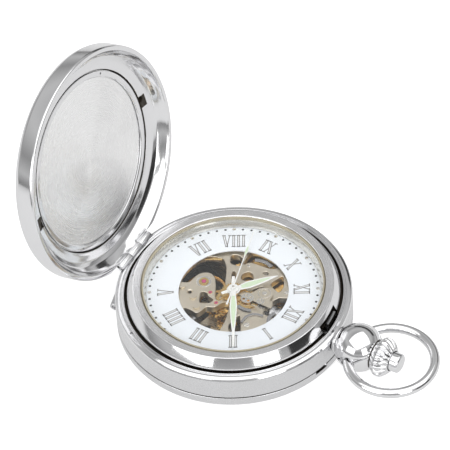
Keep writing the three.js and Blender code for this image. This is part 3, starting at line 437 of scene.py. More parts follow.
def material(
    name,
    color,
    metallic=1.0,
    roughness=0.2,
    spread=0.3,
    grain="none",
    fineness=6.0,
    bump=0.0,
    tint=0.06,
    anisotropic=0.0,
    coat=0.0,
):
    """A surface whose roughness, colour and relief vary with a fine grain and with broad handling marks."""
    made, tree, shader = blank_material(name)
    link = tree.links.new
    set_inputs(shader, Metallic=metallic, Coat_Weight=coat, Coat_Roughness=0.04)

    fine = new_node(tree, "TexNoise", Scale=fineness, Detail=4)
    link(grain_place(tree, grain), fine.inputs["Vector"])
    broad = new_node(tree, "TexNoise", Scale=HANDLING_SCALE, Detail=3)
    link(grain_place(tree, "none"), broad.inputs["Vector"])
    mixed = new_node(tree, "Mix")
    mixed.inputs[0].default_value = HANDLING_SHARE
    link(fine.outputs["Fac"], mixed.inputs[2])
    link(broad.outputs["Fac"], mixed.inputs[3])

    smoothest, roughest = roughness * (1 - spread), roughness * (1 + spread)
    rough = new_node(tree, "MapRange", From_Min=0.3, From_Max=0.7, To_Min=smoothest, To_Max=roughest)
    link(mixed.outputs[0], rough.inputs["Value"])
    link(rough.outputs[0], shader.inputs["Roughness"])

    shade = new_node(tree, "Mix")
    shade.data_type = "RGBA"
    darkest = [c * (1 - tint) for c in color]
    lightest = [min(1, c * (1 + tint)) for c in color]
    shade.inputs["A"].default_value = (*darkest, 1)
    shade.inputs["B"].default_value = (*lightest, 1)
    link(mixed.outputs[0], shade.inputs["Factor"])
    link(shade.outputs["Result"], shader.inputs["Base Color"])

    if bump:
        relief = new_node(tree, "Bump", Strength=bump, Distance=RELIEF_DEPTH * MM)
        link(fine.outputs["Fac"], relief.inputs["Height"])
        link(relief.outputs[0], shader.inputs["Normal"])
    if anisotropic:
        tangent = new_node(tree, "Tangent")
        tangent.direction_type = "RADIAL"
        tangent.axis = "Z"
        link(tangent.outputs[0], shader.inputs["Tangent"])
        shader.inputs["Anisotropic"].default_value = anisotropic
    return made


def glass(name):
    """Thin clear crystal: nearly see-through from above, less so at grazing angles."""
    made, tree, shader = blank_material(name)
    link = tree.links.new
    set_inputs(shader, Base_Color=(0.97, 0.985, 0.98, 1), IOR=1.5)
    smear = new_node(tree, "TexNoise", Scale=0.4)
    link(grain_place(tree, "none"), smear.inputs["Vector"])
    rough = new_node(tree, "MapRange", To_Min=0, To_Max=0.05)
    link(smear.outputs["Fac"], rough.inputs["Value"])
    link(rough.outputs[0], shader.inputs["Roughness"])
    facing = new_node(tree, "LayerWeight")
    steep = new_node(tree, "Math")
    steep.operation = "POWER"
    steep.inputs[1].default_value = 3
    link(facing.outputs["Facing"], steep.inputs[0])
    cover = new_node(tree, "MapRange", To_Min=0.02, To_Max=0.4)
    link(steep.outputs[0], cover.inputs["Value"])
    link(cover.outputs[0], shader.inputs["Alpha"])
    return made


STEEL = (0.80, 0.80, 0.81)
LOOK = {
    "polished": material("polished_steel", STEEL, roughness=0.1, spread=0.5, bump=0.02),
    "lined": material(
        "fine_lined_steel", (0.7, 0.7, 0.71), roughness=0.26, grain="linear", fineness=8, bump=0.12
    ),
    "satin": material("satin_steel", (0.82, 0.82, 0.83), roughness=0.26, grain="circular", bump=0.06),
    "spun": material(
        "spun_steel",
        (0.94, 0.94, 0.94),
        roughness=0.27,
        spread=0.3,
        tint=0.05,
        grain="circular",
        fineness=6,
        bump=0.06,
        anisotropic=0.92,
    ),
    "champagne": material("champagne_plate", (0.74, 0.67, 0.55), roughness=0.36, fineness=14, bump=0.25),
    "nickel": material("brushed_nickel", (0.62, 0.56, 0.46), roughness=0.3, grain="linear", bump=0.25),
    "brass": material("brass", (0.82, 0.58, 0.25), roughness=0.22, grain="linear", bump=0.2),
    "gilt": material("gilt", (0.86, 0.52, 0.2), roughness=0.16, fineness=10, bump=0.1),
    "spring": material("spring_steel", (0.5, 0.5, 0.51), roughness=0.22, grain="linear", bump=0.15),
    "bright": material("bright_cap_steel", (0.83, 0.81, 0.76), roughness=0.15, grain="circular", bump=0.1),
    # painted shade: near-black paint laid on faces in gaps, seams and notches where shade falls
    "shadow": material("painted_recess_shade", (0.035, 0.028, 0.02), metallic=0.3, roughness=0.5, bump=0.2),
    "gasket": material("gasket", (0.50, 0.45, 0.33), metallic=0.4, roughness=0.4, bump=0.2),
    "rehaut": material("rehaut_lacquer", (0.72, 0.71, 0.67), metallic=0.7, roughness=0.12, grain="circular"),
    "dial": material("dial_lacquer", (0.90, 0.94, 0.985), metallic=0, roughness=0.4, tint=0.012, coat=0.3),
    "numeral": material("numeral_silver", (0.34, 0.33, 0.32), metallic=0.2, roughness=0.35, tint=0.15),
    "inlay": material("numeral_inlay", (0.9, 0.91, 0.93), metallic=0.0, roughness=0.4),
    "ink": material("dial_ink", (0.02, 0.02, 0.025), metallic=0, roughness=0.5, tint=0.3),
    "hand": material("hand_lacquer", (0.93, 0.94, 0.92), metallic=0, roughness=0.3, tint=0.02, coat=0.3),
    "lume": material("lume_paint", (0.66, 0.80, 0.58), metallic=0, roughness=0.7, fineness=20, bump=0.4),
    "ruby": material("ruby", (0.55, 0.06, 0.20), metallic=0, roughness=0.08, coat=0.8, tint=0.2),
    "crystal": glass("crystal_glass"),
}

SLOT_LOOK = {
    "polished_steel": "polished",
    "satin_steel": "satin",
    "brushed_cover": "spun",
    "champagne_plate": "champagne",
    "nickel_bridge": "nickel",
    "brass": "brass",
    "gilt_balance": "gilt",
    "spring_steel": "spring",
    "gasket": "gasket",
    "dial_enamel": "dial",
    "hand_white": "hand",
    "ruby": "ruby",
    "crystal_glass": "crystal",
}
for row in frame["record"]["subparts"]:
    cad_mesh = frame["nodes"][row["node"]].data
    cad_mesh.materials.clear()
    cad_mesh.materials.append(LOOK[SLOT_LOOK[row["material_slot"]]])


# ---- Case ----


def both_sides(near, far):
    """The same stretch of Y on each side of the middle, as (start, end)."""
    return [(-far, -near), (near, far)]


def knuckle(x, z, start, end):
    barrel = rod_y("knuckle", x, z, KNUCKLE_R, start, end, edge=0.1)
    return cut(barrel, rod_y("pin_room", x, z, PIN_ROOM_R, start - 1, end + 1))


def on_side(centre):
    """True on the upright outer wall of the case."""
    return centre.xy.length > CASE_R - 0.25


def make_case_band():
    profile = [
        (19.3, 2.3),
        (20.9, 2.3),
        (20.9, 1.45),
        (22.4, 1.45),
        (22.4, SEAM_Z),
        (CASE_R - 0.2, SEAM_Z),
        (CASE_R, SEAM_Z + 0.25),
        (CASE_R, 7.4),
        (CASE_R - 0.25, 7.85),
        (CASE_R - 0.8, RIM_Z),
        (22.75, RIM_Z),
        (22.65, 7.8),
        (22.45, 7.8),
        (22.4, RIM_Z),
        (22.15, RIM_Z - 0.05),
        (22.1, 6.7),
        (21.9, 6.7),
        (21.9, 4.3),
        (20.3, 4.3),
        (20.3, 6.7),
        (19.3, 6.7),
    ]
    band = lathe("case_band_fine", rounded(profile, 0.08))
    bore = turn_to(disc("bore", (0, 0), 1.25, 21.2, 25, edge=0), ON_STEM)
    stem_bore = turn_to(disc("stem_bore", (0, 0), 0.8, 18, 22, edge=0), ON_STEM)
    hinge_bed = block("hinge_bed", (-25, FRONT_HINGE.x + 0.95), (-5.75, 5.75), (7.05, 9))
    slot = plate("slot", strip((0, 0), 22.75, 23.25, -3.5, 7.2), 7.3, 9)
    pin_hole = disc("pin_hole", polar(23.1, math.radians(-122)), 0.28, 7, 9)
    reach = math.hypot(REAR_HINGE.x, REAR_HINGE.y)
    to_rear = Matrix.Rotation(REAR_HINGE_TURN, 4, "Z")
    rear_bed = turn_to(block("rear_bed", (-25.5, -reach + 1.05), (-5.3, 5.3), (1, 3.7)), to_rear)
    cut(band, bore, stem_bore, hinge_bed, slot, pin_hole, rear_bed)
    front_foot = block("front_foot", (-24, -22.7), (-KNUCKLE_HALF, KNUCKLE_HALF), (6.9, 7.9))
    front = knuckle(FRONT_HINGE.x, FRONT_HINGE.z, -KNUCKLE_HALF, KNUCKLE_HALF)
    gusset_profile = [(0, 7.0), (2.6, 7.0), (1.9, 7.5), (KNUCKLE_HALF, 8.0), (0, 8.0)]
    gusset = lathe("gusset", gusset_profile, SMALL, (-22.95, 0), closed=False)
    keep = block("keep", (-22.1, -18), (-4, 4), (6, 9))
    rear_foot = block("rear_foot", (-24, -22.9), (-KNUCKLE_HALF, KNUCKLE_HALF), (2.9, 3.9))
    rear = knuckle(-reach, REAR_HINGE.z, -KNUCKLE_HALF, KNUCKLE_HALF)
    pin_room = rod_y("pin_room", FRONT_HINGE.x, FRONT_HINGE.z, PIN_ROOM_R, -6, 6)
    fuse(band, front_foot, cut(gusset, keep), front, turn_to(rear_foot, to_rear), turn_to(rear, to_rear))
    cut(band, pin_room)
    show(band, "case", "polished_steel", ["case_band"])
    second_look(band, "lined", lambda centre: on_side(centre) and SEAM_Z < centre.z < 7.4)
    # painted shade: the band's inner faces and the groove under the bezel are painted near-black
    second_look(band, "shadow", lambda centre: centre.xy.length < 22.2 and centre.z < RIM_Z - 0.2)
    # painted shade: faces at and below the seam with the rear cover are painted near-black
    second_look(band, "shadow", lambda centre: centre.z < SEAM_Z + 0.04)


def make_bezel():
    profile = [
        (18.5, 7.95),
        (19.35, 7.95),
        (19.35, 6.78),
        (BEZEL_R, 6.78),
        (BEZEL_R, 7.2),
        (21.6, 7.4),
        (21.6, 8.3),
        (21.45, 8.65),
        (20.3, BEZEL_TOP_Z - 0.02),
        (20.1, BEZEL_TOP_Z),
        (18.75, BEZEL_TOP_Z),
        (18.5, BEZEL_TOP_Z - 0.3),
    ]
    bezel = lathe("front_bezel_fine", rounded(profile, 0.12, 4))
    notch = block("notch", (19.6, 23), (-1.5, 5.1), (6, 9.6))
    stem_bore = turn_to(disc("stem_bore", (0, 0), 0.8, 18, 23, edge=0), ON_STEM)
    cut(bezel, notch, stem_bore)
    show(bezel, "case", "satin_steel", ["front_bezel"], look="polished")
    second_look(bezel, "satin", lambda centre: centre.z > BEZEL_TOP_Z - 0.05)
    # painted shade: the bezel's skirt, down in the band's groove, is painted near-black
    second_look(bezel, "shadow", lambda centre: centre.z < 7.7)


def make_crystal_and_flange():
    dome = [
        (0, 9.85), (CRYSTAL_R - 0.15, 9.85), (CRYSTAL_R, 10.0),
        (CRYSTAL_R, 10.25), (CRYSTAL_R - 0.3, 10.42), (0, 10.45),
    ]
    crystal = lathe("crystal_fine", rounded(dome, 0.08, 3, closed=False), closed=False)
    show(crystal, "case", "crystal_glass", ["crystal"])
    gasket = ring("crystal_gasket_fine", (0, 0), 18.15, 18.45, 9.8, BEZEL_TOP_Z, FINE, 0.08)
    show(gasket, "case", "gasket", ["crystal_gasket"])
    flange = [(17.55, DIAL_Z + 0.08), (18.3, DIAL_Z + 0.08), (18.42, 9.75), (18.2, 9.75)]
    rehaut = lathe("rehaut_ring_fine", rounded(flange, 0.05, 3))
    show(rehaut, "case", "satin_steel", ["rehaut_ring"], look="rehaut")


def make_front_cover():
    """The cover is modelled shut, then swung open about its hinge."""
    hinge = Matrix.Translation((FRONT_HINGE.x, 0, FRONT_HINGE.z))
    swing = hinge @ Matrix.Rotation(-COVER_OPEN, 4, "Y") @ hinge.inverted()
    lip = RIM_Z + 0.1
    profile = [
        (0, 12.8),
        (16.8, 12.8),
        (16.8, 12.0),
        (18.7, 12.0),
        (18.7, 11.0),
        (19.3, 11.0),
        (20.6, 10.8),
        (21.6, 10.3),
        (22.3, 9.5),
        (22.75, 8.7),
        (22.95, lip),
        (CASE_R - 0.2, lip),
        (CASE_R, lip + 0.3),
        (CASE_R, 11.6),
        (CASE_R - 0.35, 12.4),
        (CASE_R - 1.4, 13.0),
        (19, 13.4),
        (0, 13.6),
    ]
    cover = lathe("front_cover_fine", rounded(profile, 0.22, 4, closed=False), closed=False)
    cut(cover, block("flat", (-25, -22.4), (-12, 12), (5, 15)))
    for angle in (87.5, -92):
        cut(cover, disc("lift_notch", polar(18.95, math.radians(angle)), 0.75, 10.2, 11.6, 32, 0))
    for start, end in both_sides(KNUCKLE_HALF + KNUCKLE_GAP, FRONT_HINGE_HALF):
        fuse(cover, block("leaf", (FRONT_HINGE.x, -22), (start, end), (8.35, 8.9)))
        cut(cover, rod_y("pin_room", FRONT_HINGE.x, FRONT_HINGE.z, PIN_ROOM_R, start - 0.5, end + 0.5))
        fuse(cover, knuckle(FRONT_HINGE.x, FRONT_HINGE.z, start, end))
    show(cover, "front_cover", "polished_steel", ["front_cover"])
    # painted shade: the pocket wall round the inner disc is painted near-black
    second_look(cover, "shadow", lambda centre: 18.4 < centre.xy.length < 18.8 and 11.05 < centre.z < 12.2)

    # painted shade: faces in the two lift notches are painted near-black
    def in_lift_notch(centre):
        return abs(centre.x) < 1.6 and 18 < centre.xy.length < 20 and centre.z > 10.9

    second_look(cover, "shadow", in_lift_notch)
    turn_to(cover, swing)

    band = [(17.1, 11.25), (17.35, 11.1), (18.15, 11.06), (18.4, 11.12), (18.4, 11.44), (17.1, 11.44)]
    retaining_ring = lathe("cover_ring_fine", rounded(band, 0.08, 3))
    for angle in (36.5, -143.5):
        cut(retaining_ring, disc("ring_hole", polar(17.85, math.radians(angle)), 0.24, 10, 12, 16, 0))
    turn_to(retaining_ring, swing)
    show(retaining_ring, "front_cover", "polished_steel", ["cover_inner_ring"])

    inner = [(0, 11.52), (16.6, 11.52), (18.5, 11.5), (18.5, 11.9), (0, 11.9)]
    inner_disc = lathe("cover_disc_fine", rounded(inner, 0.05, 2, closed=False), closed=False)
    placed = swing.copy()
    placed.translation = swing.translation * MM
    inner_disc.matrix_world = placed
    show(inner_disc, "front_cover", "brushed_cover", ["cover_inner_disc"])


def make_rear_cover():
    profile = [
        (0, 0),
        (CASE_R - 1.1, 0),
        (CASE_R - 0.35, 0.28),
        (CASE_R, 0.9),
        (CASE_R, SEAM_Z - 0.15),
        (22.75, 2.5),
        (22.75, 1.45),
        (21.6, 0.75),
        (19, 0.6),
        (0, 0.6),
    ]
    cover = lathe("rear_cover_fine", rounded(profile, 0.2, 4, closed=False), closed=False)
    to_rear = Matrix.Rotation(REAR_HINGE_TURN, 4, "Z")
    reach = math.hypot(REAR_HINGE.x, REAR_HINGE.y)
    hinge_bed = turn_to(block("hinge_bed", (-25.5, -reach + 1), (-5.3, 5.3), (1.4, 4)), to_rear)
    notch = disc("notch", polar(CASE_R + 0.35, math.radians(-13)), 1.7, 1.9, 3)
    cut(cover, hinge_bed, notch)
    for start, end in both_sides(KNUCKLE_HALF + KNUCKLE_GAP, REAR_HINGE_HALF):
        leaf = block("leaf", (-reach, -22.8), (start, end), (1.75, 2.3))
        barrel = knuckle(-reach, REAR_HINGE.z, start, end)
        cut(leaf, rod_y("pin_room", -reach, REAR_HINGE.z, PIN_ROOM_R, start - 0.5, end + 0.5))
        fuse(cover, turn_to(fuse(leaf, barrel), to_rear))
    show(cover, "rear_cover", "polished_steel", ["rear_cover"])
    second_look(cover, "lined", lambda centre: on_side(centre) and centre.z > 0.8)
    # painted shade: the rear cover's lip at the seam under the band is painted near-black
    second_look(cover, "shadow", lambda centre: 22.6 < centre.xy.length < 23.9 and centre.z > 2.44)


# ---- Pendant, bow, crown ----

BALL_R = 4.95
CROWN_R = 4.1
BOW_CENTRE_X = BOW_PIVOT.x + 7.4
BOW_R = 8.7
WIRE_R = 1.0
BUTTON_PIN_Y = 1.35
CROWN_FLUTES = 20


def make_pendant():
    neck_end = BOW_PIVOT.x - 4
    neck = [
        (22.8, 1.25), (22.8, 2.6), (neck_end - 0.6, 2.6), (neck_end - 0.4, 3),
        (neck_end - 0.1, 3), (neck_end, 2.8), (neck_end, 1.25),
    ]
    neck_piece = stem_lathe("pendant_neck_fine", rounded(neck, 0.12))
    cut(neck_piece, disc("case_room", (0, 0), CASE_R + 0.25, -1, 20, FINE, 0))
    show(neck_piece, "case", "polished_steel", ["pendant_neck"])

    start, end = low("pendant_ball").x, high("pendant_ball").x
    profile = [(start, 1.8)]
    for k in range(25):
        x = start + (end - start) * k / 24
        profile.append((x, math.sqrt(BALL_R**2 - (x - BOW_PIVOT.x) ** 2)))
    profile.append((end, 1.8))
    ball = stem_lathe("pendant_ball_fine", profile)
    for socket, pin_socket in zip(both_sides(3.8, 6), both_sides(3, 5)):
        cut(ball, rod_y("socket", BOW_PIVOT.x, BOW_PIVOT.z, 1.6, *socket, 48))
        cut(ball, rod_y("pin_socket", BOW_PIVOT.x, BOW_PIVOT.z, 0.7, *pin_socket))
    show(ball, "case", "polished_steel", ["pendant_ball"])
    # painted shade: a thin near-black ring where the crown meets the ball stands in for the shade in that gap
    gap_shade_profile = [(end - 0.05, 2), (end - 0.05, 3), (end + 0.2, 3), (end + 0.2, 2)]
    gap_shade_ring = stem_lathe("pendant_gap_shade", rounded(gap_shade_profile, 0.05))
    show(gap_shade_ring, "case", "polished_steel", look="shadow")


def make_bow():
    reach = math.acos((BOW_PIVOT.x - BOW_CENTRE_X) / BOW_R)
    steps, round_steps = 96, 24
    points = []
    for i in range(steps + 1):
        a = -reach + 2 * reach * i / steps
        for k in range(round_steps):
            b = 2 * math.pi * k / round_steps
            r = BOW_R + WIRE_R * math.cos(b)
            points.append((BOW_CENTRE_X + r * math.cos(a), r * math.sin(a), STEM_Z + WIRE_R * math.sin(b)))
    faces = stitched(steps + 1, round_steps)
    faces.append(tuple(range(round_steps)))
    faces.append(tuple(reversed(range(steps * round_steps, (steps + 1) * round_steps))))
    wire = object_from("bow_fine", points, faces)
    for foot, pivot in zip(both_sides(4, 4.9), both_sides(3.2, 4.5)):
        fuse(wire, rod_y("foot", BOW_PIVOT.x, BOW_PIVOT.z, 0.98, *foot))
        fuse(wire, rod_y("pivot", BOW_PIVOT.x, BOW_PIVOT.z, 0.6, *pivot))
    show(wire, "bow", "polished_steel", ["bow"])


def fluted(name, profile, flutes, steps_per_flute=10):
    """A grip about the stem whose (x, radius, groove depth) profile carries rounded ribs."""
    count = flutes * steps_per_flute
    points = []
    for x, r, depth in profile:
        for k in range(count):
            a = 2 * math.pi * k / count
            groove = depth * (0.5 + 0.5 * math.cos(a * flutes)) ** 2.5
            points.append((x, (r - groove) * math.cos(a), STEM_Z + (r - groove) * math.sin(a)))
    faces = stitched(len(profile), count)
    for ring_start, x in ((0, profile[0][0]), ((len(profile) - 1) * count, profile[-1][0])):
        middle = len(points)
        points.append((x, 0, STEM_Z))
        for k in range(count):
            faces.append((ring_start + k, ring_start + (k + 1) % count, middle))
    return object_from(name, points, faces)


def make_crown():
    start, end = low("crown").x, high("crown").x
    stations = [  # share of the crown's length, radius, groove depth
        (0.0, 3.2, 0.0),
        (0.06, 3.4, 0.1),
        (0.2, 3.9, 0.5),
        (0.32, 4.06, 0.62),
        (0.42, CROWN_R, 0.66),
        (0.55, 4.02, 0.66),
        (0.68, 3.75, 0.6),
        (0.8, 3.35, 0.48),
        (0.9, 2.95, 0.3),
        (0.96, 2.65, 0.1),
        (1.0, 2.5, 0.0),
    ]
    profile = [(start + (end - start) * share, r, depth) for share, r, depth in stations]
    body = fluted("crown_fine", profile, CROWN_FLUTES)
    stem_end = start + 1.2
    cut(body, stem_rod("button_room", 2.15, stem_end, end + 1))
    cut(body, stem_rod("stem_room", 0.68, start - 1, start + 2, SMALL))
    for side in (-1, 1):
        pin_room = stem_rod("pin_room", 0.42, start - 1, start + 2, SMALL)
        cut(body, turn_to(pin_room, Matrix.Translation((0, side * BUTTON_PIN_Y, 0))))
    show(body, "crown", "polished_steel", ["crown"])

    tip = high("push_button").x
    cap_profile = [(tip - 3.3, 0), (tip - 3.3, 2), (tip - 0.35, 2), (tip - 0.02, 1.6), (tip, 0)]
    cap = stem_lathe("push_button_fine", rounded(cap_profile, 0.25, 5, closed=False), closed=False)
    for side in (-1, 1):
        pin = stem_rod("pin", 0.32, start - 0.6, tip - 3, SMALL)
        fuse(cap, turn_to(pin, Matrix.Translation((0, side * BUTTON_PIN_Y, 0))))
    show(cap, "push_button", "polished_steel", ["push_button"])


# ---- Dial ----

NUMERALS = {
    1: "I", 2: "II", 3: "III", 4: "IIII", 5: "V",
    7: "VII", 8: "VIII", 9: "IX", 10: "X", 11: "XI", 12: "XII",
}
NUMERAL_HEIGHT = 3.3
NUMERAL_R = 13.75
STROKE = {"thick": 0.55, "thin": 0.2, "serif": 0.2}
LETTER_WIDTH = {"I": 1.0, "V": 1.85, "X": 1.85}


def bar(start, end, width):
    """A slanted bar whose ends are level."""
    (x0, y0), (x1, y1) = start, end
    half = width / 2
    return [(x0 - half, y0), (x0 + half, y0), (x1 + half, y1), (x1 - half, y1)]


def letter_bars(letter):
    """The strokes of one letter about its own middle, as (thick?, outline)."""
    tall, wide, serif = NUMERAL_HEIGHT, LETTER_WIDTH[letter] / 2, STROKE["serif"]
    thick, thin = STROKE["thick"], STROKE["thin"]

    def foot(x, y, half):
        return (False, [(x - half, y), (x + half, y), (x + half, y + serif), (x - half, y + serif)])

    if letter == "I":
        return [(True, bar((0, 0), (0, tall), thick)), foot(0, 0, 0.42), foot(0, tall - serif, 0.42)]
    inset = wide - 0.32
    if letter == "V":
        return [
            (True, bar((0, 0), (-inset, tall), thick)),
            (False, bar((0.05, 0), (inset, tall), thin)),
            foot(-inset, tall - serif, 0.4),
            foot(inset, tall - serif, 0.32),
        ]
    return [
        (True, bar((inset, 0), (-inset, tall), thick)),
        (False, bar((-inset, 0), (inset, tall), thin)),
        foot(-inset, tall - serif, 0.38),
        foot(inset, tall - serif, 0.32),
        foot(-inset, 0, 0.32),
        foot(inset, 0, 0.38),
    ]


def flat_polygons(name, polygons, bottom, top):
    """Several thin raised polygons in one mesh."""
    points, faces = [], []
    for outline in polygons:
        start, count = len(points), len(outline)
        points += [(x, y, bottom) for x, y in outline] + [(x, y, top) for x, y in outline]
        faces.append(tuple(range(start, start + count))[::-1])
        faces.append(tuple(range(start + count, start + 2 * count)))
        for k in range(count):
            n = (k + 1) % count
            faces.append((start + k, start + n, start + count + n, start + count + k))
    return object_from(name, points, faces)


def make_dial():
    face = ring("dial_fine", (0, 0), APERTURE_R, DIAL_R, DIAL_Z - 0.3, DIAL_Z, FINE, 0.05)
    show(face, "case", "dial_enamel", ["dial"])
    strokes, inlays = [], []
    for hour, text in NUMERALS.items():
        angle = math.radians(-30 * hour)
        outward_axis = Vector(polar(1, angle))
        reading = Vector((outward_axis.y, -outward_axis.x))
        cursor = -sum(LETTER_WIDTH[c] for c in text) / 2
        for letter in text:
            middle = cursor + LETTER_WIDTH[letter] / 2
            cursor += LETTER_WIDTH[letter]
            for thick, outline in letter_bars(letter):
                placed = [
                    tuple(reading * (middle + x) + outward_axis * (NUMERAL_R - NUMERAL_HEIGHT / 2 + y))
                    for x, y in outline
                ]
                strokes.append(placed)
                if thick:
                    inlays.append(narrowed(placed))
    numerals = flat_polygons("dial_numerals", strokes, DIAL_Z, DIAL_Z + 0.03)
    show(numerals, "case", "spring_steel", look="numeral")
    filling = flat_polygons("numeral_inlays", inlays, DIAL_Z + 0.02, DIAL_Z + 0.04)
    show(filling, "case", "dial_enamel", look="inlay")
    dots, markers = [], []
    for minute in range(60):
        place = polar(17.0, math.radians(6 * minute))
        if minute % 5:
            dots.append(circle(place, 0.25, 12))
        else:
            markers.append(place)
    show(flat_polygons("minute_dots", dots, DIAL_Z, DIAL_Z + 0.02), "case", "dial_enamel", look="ink")
    for k, place in enumerate(markers):
        marker = disc(f"hour_marker_{k}", place, 0.38, DIAL_Z, DIAL_Z + 0.14, 20, 0.1)
        show(marker, "case", "spring_steel", look="bright")


def narrowed(stroke):
    """The middle third of a stroke given as bottom left, bottom right, top right, top left."""
    a, b, c, d = (Vector(corner) for corner in stroke)
    low_end, high_end = (a + b) / 2, (c + d) / 2
    shorten = (high_end - low_end).normalized() * 0.22
    half_low, half_high = (b - a) * 0.17, (c - d) * 0.17
    corners = (
        low_end + shorten - half_low,
        low_end + shorten + half_low,
        high_end - shorten + half_high,
        high_end - shorten - half_high,
    )
    return [tuple(corner) for corner in corners]


# ---- Hands ----


def hand_outline(angle, sides):
    along = Vector(polar(1, angle))
    across = Vector((-along.y, along.x))
    left = [tuple(along * d + across * w) for d, w in sides]
    right = [tuple(along * d - across * w) for d, w in reversed(sides)]
    return left + right


def make_hand(node, body, sides, hub, bore, lume):
    bottom, top = low(node).z, high(node).z
    angle = HAND_ANGLES[node]
    blade = plate(node + "_fine", hand_outline(angle, sides), bottom, top, chamfer=0.02)
    fuse(blade, disc("hub", (0, 0), hub, bottom, top, 48))
    cut(blade, disc("bore", (0, 0), bore, bottom - 1, top + 1))
    show(blade, body, "hand_white", [node])
    paint = plate(node + "_lume", hand_outline(angle, lume), top - 0.03, top + 0.02)
    show(paint, body, "hand_white", look="lume")


def make_hands():
    make_hand(
        "hour_hand", "hour_wheel",
        [(-2.6, 0.3), (0.5, 0.5), (3.4, 0.95), (6.8, 0.62), (9.6, 0.05)], 1.35, 0.72,
        [(1.7, 0.42), (3.5, 0.62), (6.2, 0.42), (8.0, 0.08)],
    )
    make_hand(
        "minute_hand", "centre_wheel",
        [(-3.2, 0.3), (0.5, 0.42), (5.0, 0.76), (9.4, 0.5), (11.5, 0.3), (15.9, 0.22)], 1.1, 0.3,
        [(2.2, 0.3), (5.2, 0.5), (9.0, 0.3), (10.8, 0.08)],
    )
    make_hand(
        "second_hand", "fourth_wheel",
        [(-5, 0.2), (-3, 0.12), (8.6, 0.1), (10.1, 0.38), (11.8, 0.1), (16.1, 0.07)], 0.55, 0.19,
        [(9.0, 0.12), (10.1, 0.26), (11.4, 0.06)],
    )
    top = high("second_hand").z
    cap = disc("second_hand_cap", (0, 0), 0.3, top - 0.02, top + 0.12, 24, 0.1)
    show(cap, "fourth_wheel", "spring_steel", look="bright")


# ---- Movement ----

BALANCE = joint_place("balance_swing").xy
PALLET = joint_place("pallet_turn").xy
ESCAPE = joint_place("escape_turn").xy
THIRD = joint_place("third_turn").xy
BARREL = joint_place("barrel_turn").xy

PLATE_WINDOWS = {
    "balance": [
        (-11.6, -1.75), (-11.9, 1.5), (-11, 5.2), (-9.2, 6.8), (-7, 7.25), (-5.6, 6.3), (-4.4, 4.5),
        (-3.5, 2.6), (-2.4, 0.6), (-1.5, -1.8), (-1.5, -2.9), (-2.5, -2.9), (-3.4, -1.6), (-4.1, -0.2),
        (-5, 1.2), (-5.8, 2.2), (-7.1, 2.7), (-8.3, 2.2), (-9.1, 1.2), (-9.4, -0.2), (-9.6, -1.4),
        (-10.4, -1.9),
    ],
    "pallet": [(-6.1, -2.7), (-5, -2.3), (-4.2, -2.9), (-2.9, -3.3), (-3.1, -4.4), (-4.4, -5.2), (-5.2, -4.9)],
    "third": [
        (-7, -8.2), (-5.5, -7.9), (-4, -8), (-3.4, -6.8), (-3.1, -5.7), (-1.6, -4.9), (-0.9, -3.4),
        (-0.3, -2.7), (0.6, -2.7), (1.3, -4.4), (2.1, -7), (2.4, -9), (2.5, -11.6), (0, -12.2), (-3, -12),
        (-6, -10.3),
    ],
    "bar": [(3.8, -4.8), (4.5, -5.1), (6.3, -8.2), (5.6, -8.9), (4.6, -9.4), (3.4, -7.6)],
    "stud": [(5.3, 5.8), (5.6, 7.5), (6.4, 8.8), (7.8, 6.6), (7.9, 4.8), (6.9, 4.9)],
    "barrel": [(-1.2, 5.4), (-0.5, 6.6), (0.5, 6.6), (1.1, 6), (1.6, 4.9), (0.8, 4.4), (-0.6, 4.2)],
    "square": [(-5.6, 9.2), (-4.4, 9.7), (-3, 9), (-2.7, 7.4), (-4.7, 7), (-5.6, 8.3)],
    "slit": [(-3.2, 5.5), (-2.4, 5), (-2, 3.8), (-2.5, 3.4), (-3.2, 4.7)],
    "top": [(-2.4, 8.1), (-1.2, 9.1), (3.1, 9.5), (4.2, 10.6), (4, 11.8), (0, 12.4), (-2.6, 11.9)],
    "side": [(2.7, 2.7), (4.3, 4.6), (4.6, 3), (3.6, 2.5)],
}
KEYLESS_WINDOW = [
    (7.9, -1.95), (7.3, 0), (7.9, 1.95), (8.6, 3.4), (10.3, 4.2), (10.8, 1.95), (13.4, 1.95), (13.4, -1.95),
]
LEVER_WINDOW = [(13.7, -0.9), (16.2, -0.9), (16.2, 0.9), (13.7, 0.9)]
STEADY_HOLES = [(-8.2, -3.6), (-6.8, -4.7), (-4.8, -6.7), (-10.3, -3.2), (2.7, 6.5)]


def make_main_plate():
    round_holes = [((0, 0), 0.75), (BARREL, 0.58), (BALANCE, 0.5)]
    round_holes += [(arbor, 0.24) for arbor in (PALLET, ESCAPE, THIRD)]
    round_holes += [(hole, 0.4) for hole in STEADY_HOLES]
    holes = [smooth(points, 5) for points in PLATE_WINDOWS.values()] + [KEYLESS_WINDOW, LEVER_WINDOW]
    holes += [circle(place, r, 28) for place, r in round_holes]
    body = plate("main_plate_fine", circle((0, 0), PLATE_R, 128), PLATE_LOW_Z, PLATE_Z, holes, chamfer=0.09)
    sink_low, sink_rim, sink_high = PLATE_Z - 0.3, PLATE_Z + 0.02, PLATE_Z + 0.4
    sink = [(0, sink_low), (0.38, sink_low), (0.7, sink_rim), (0.7, sink_high), (0, sink_high)]
    for place in STEADY_HOLES:
        cut(body, lathe("sink", sink, 28, place, closed=False))
    cut(body, turn_to(disc("stem_bore", (0, 0), 0.8, 7, 19, edge=0), ON_STEM))
    show(body, "case", "champagne_plate", ["main_plate"])


def screw(name, place, r, bottom, top, turn):
    """A slotted screw head."""
    head = disc(name, place, r, bottom, top, 28, 0.06)
    x, y = polar(r * 1.3, turn)
    groove = ribbon([(place[0] - x, place[1] - y), (place[0] + x, place[1] + y)], r * 0.28)
    cut(head, plate("groove", groove, top - 0.09, top + 0.2))
    show(head, "case", "spring_steel", look="bright")


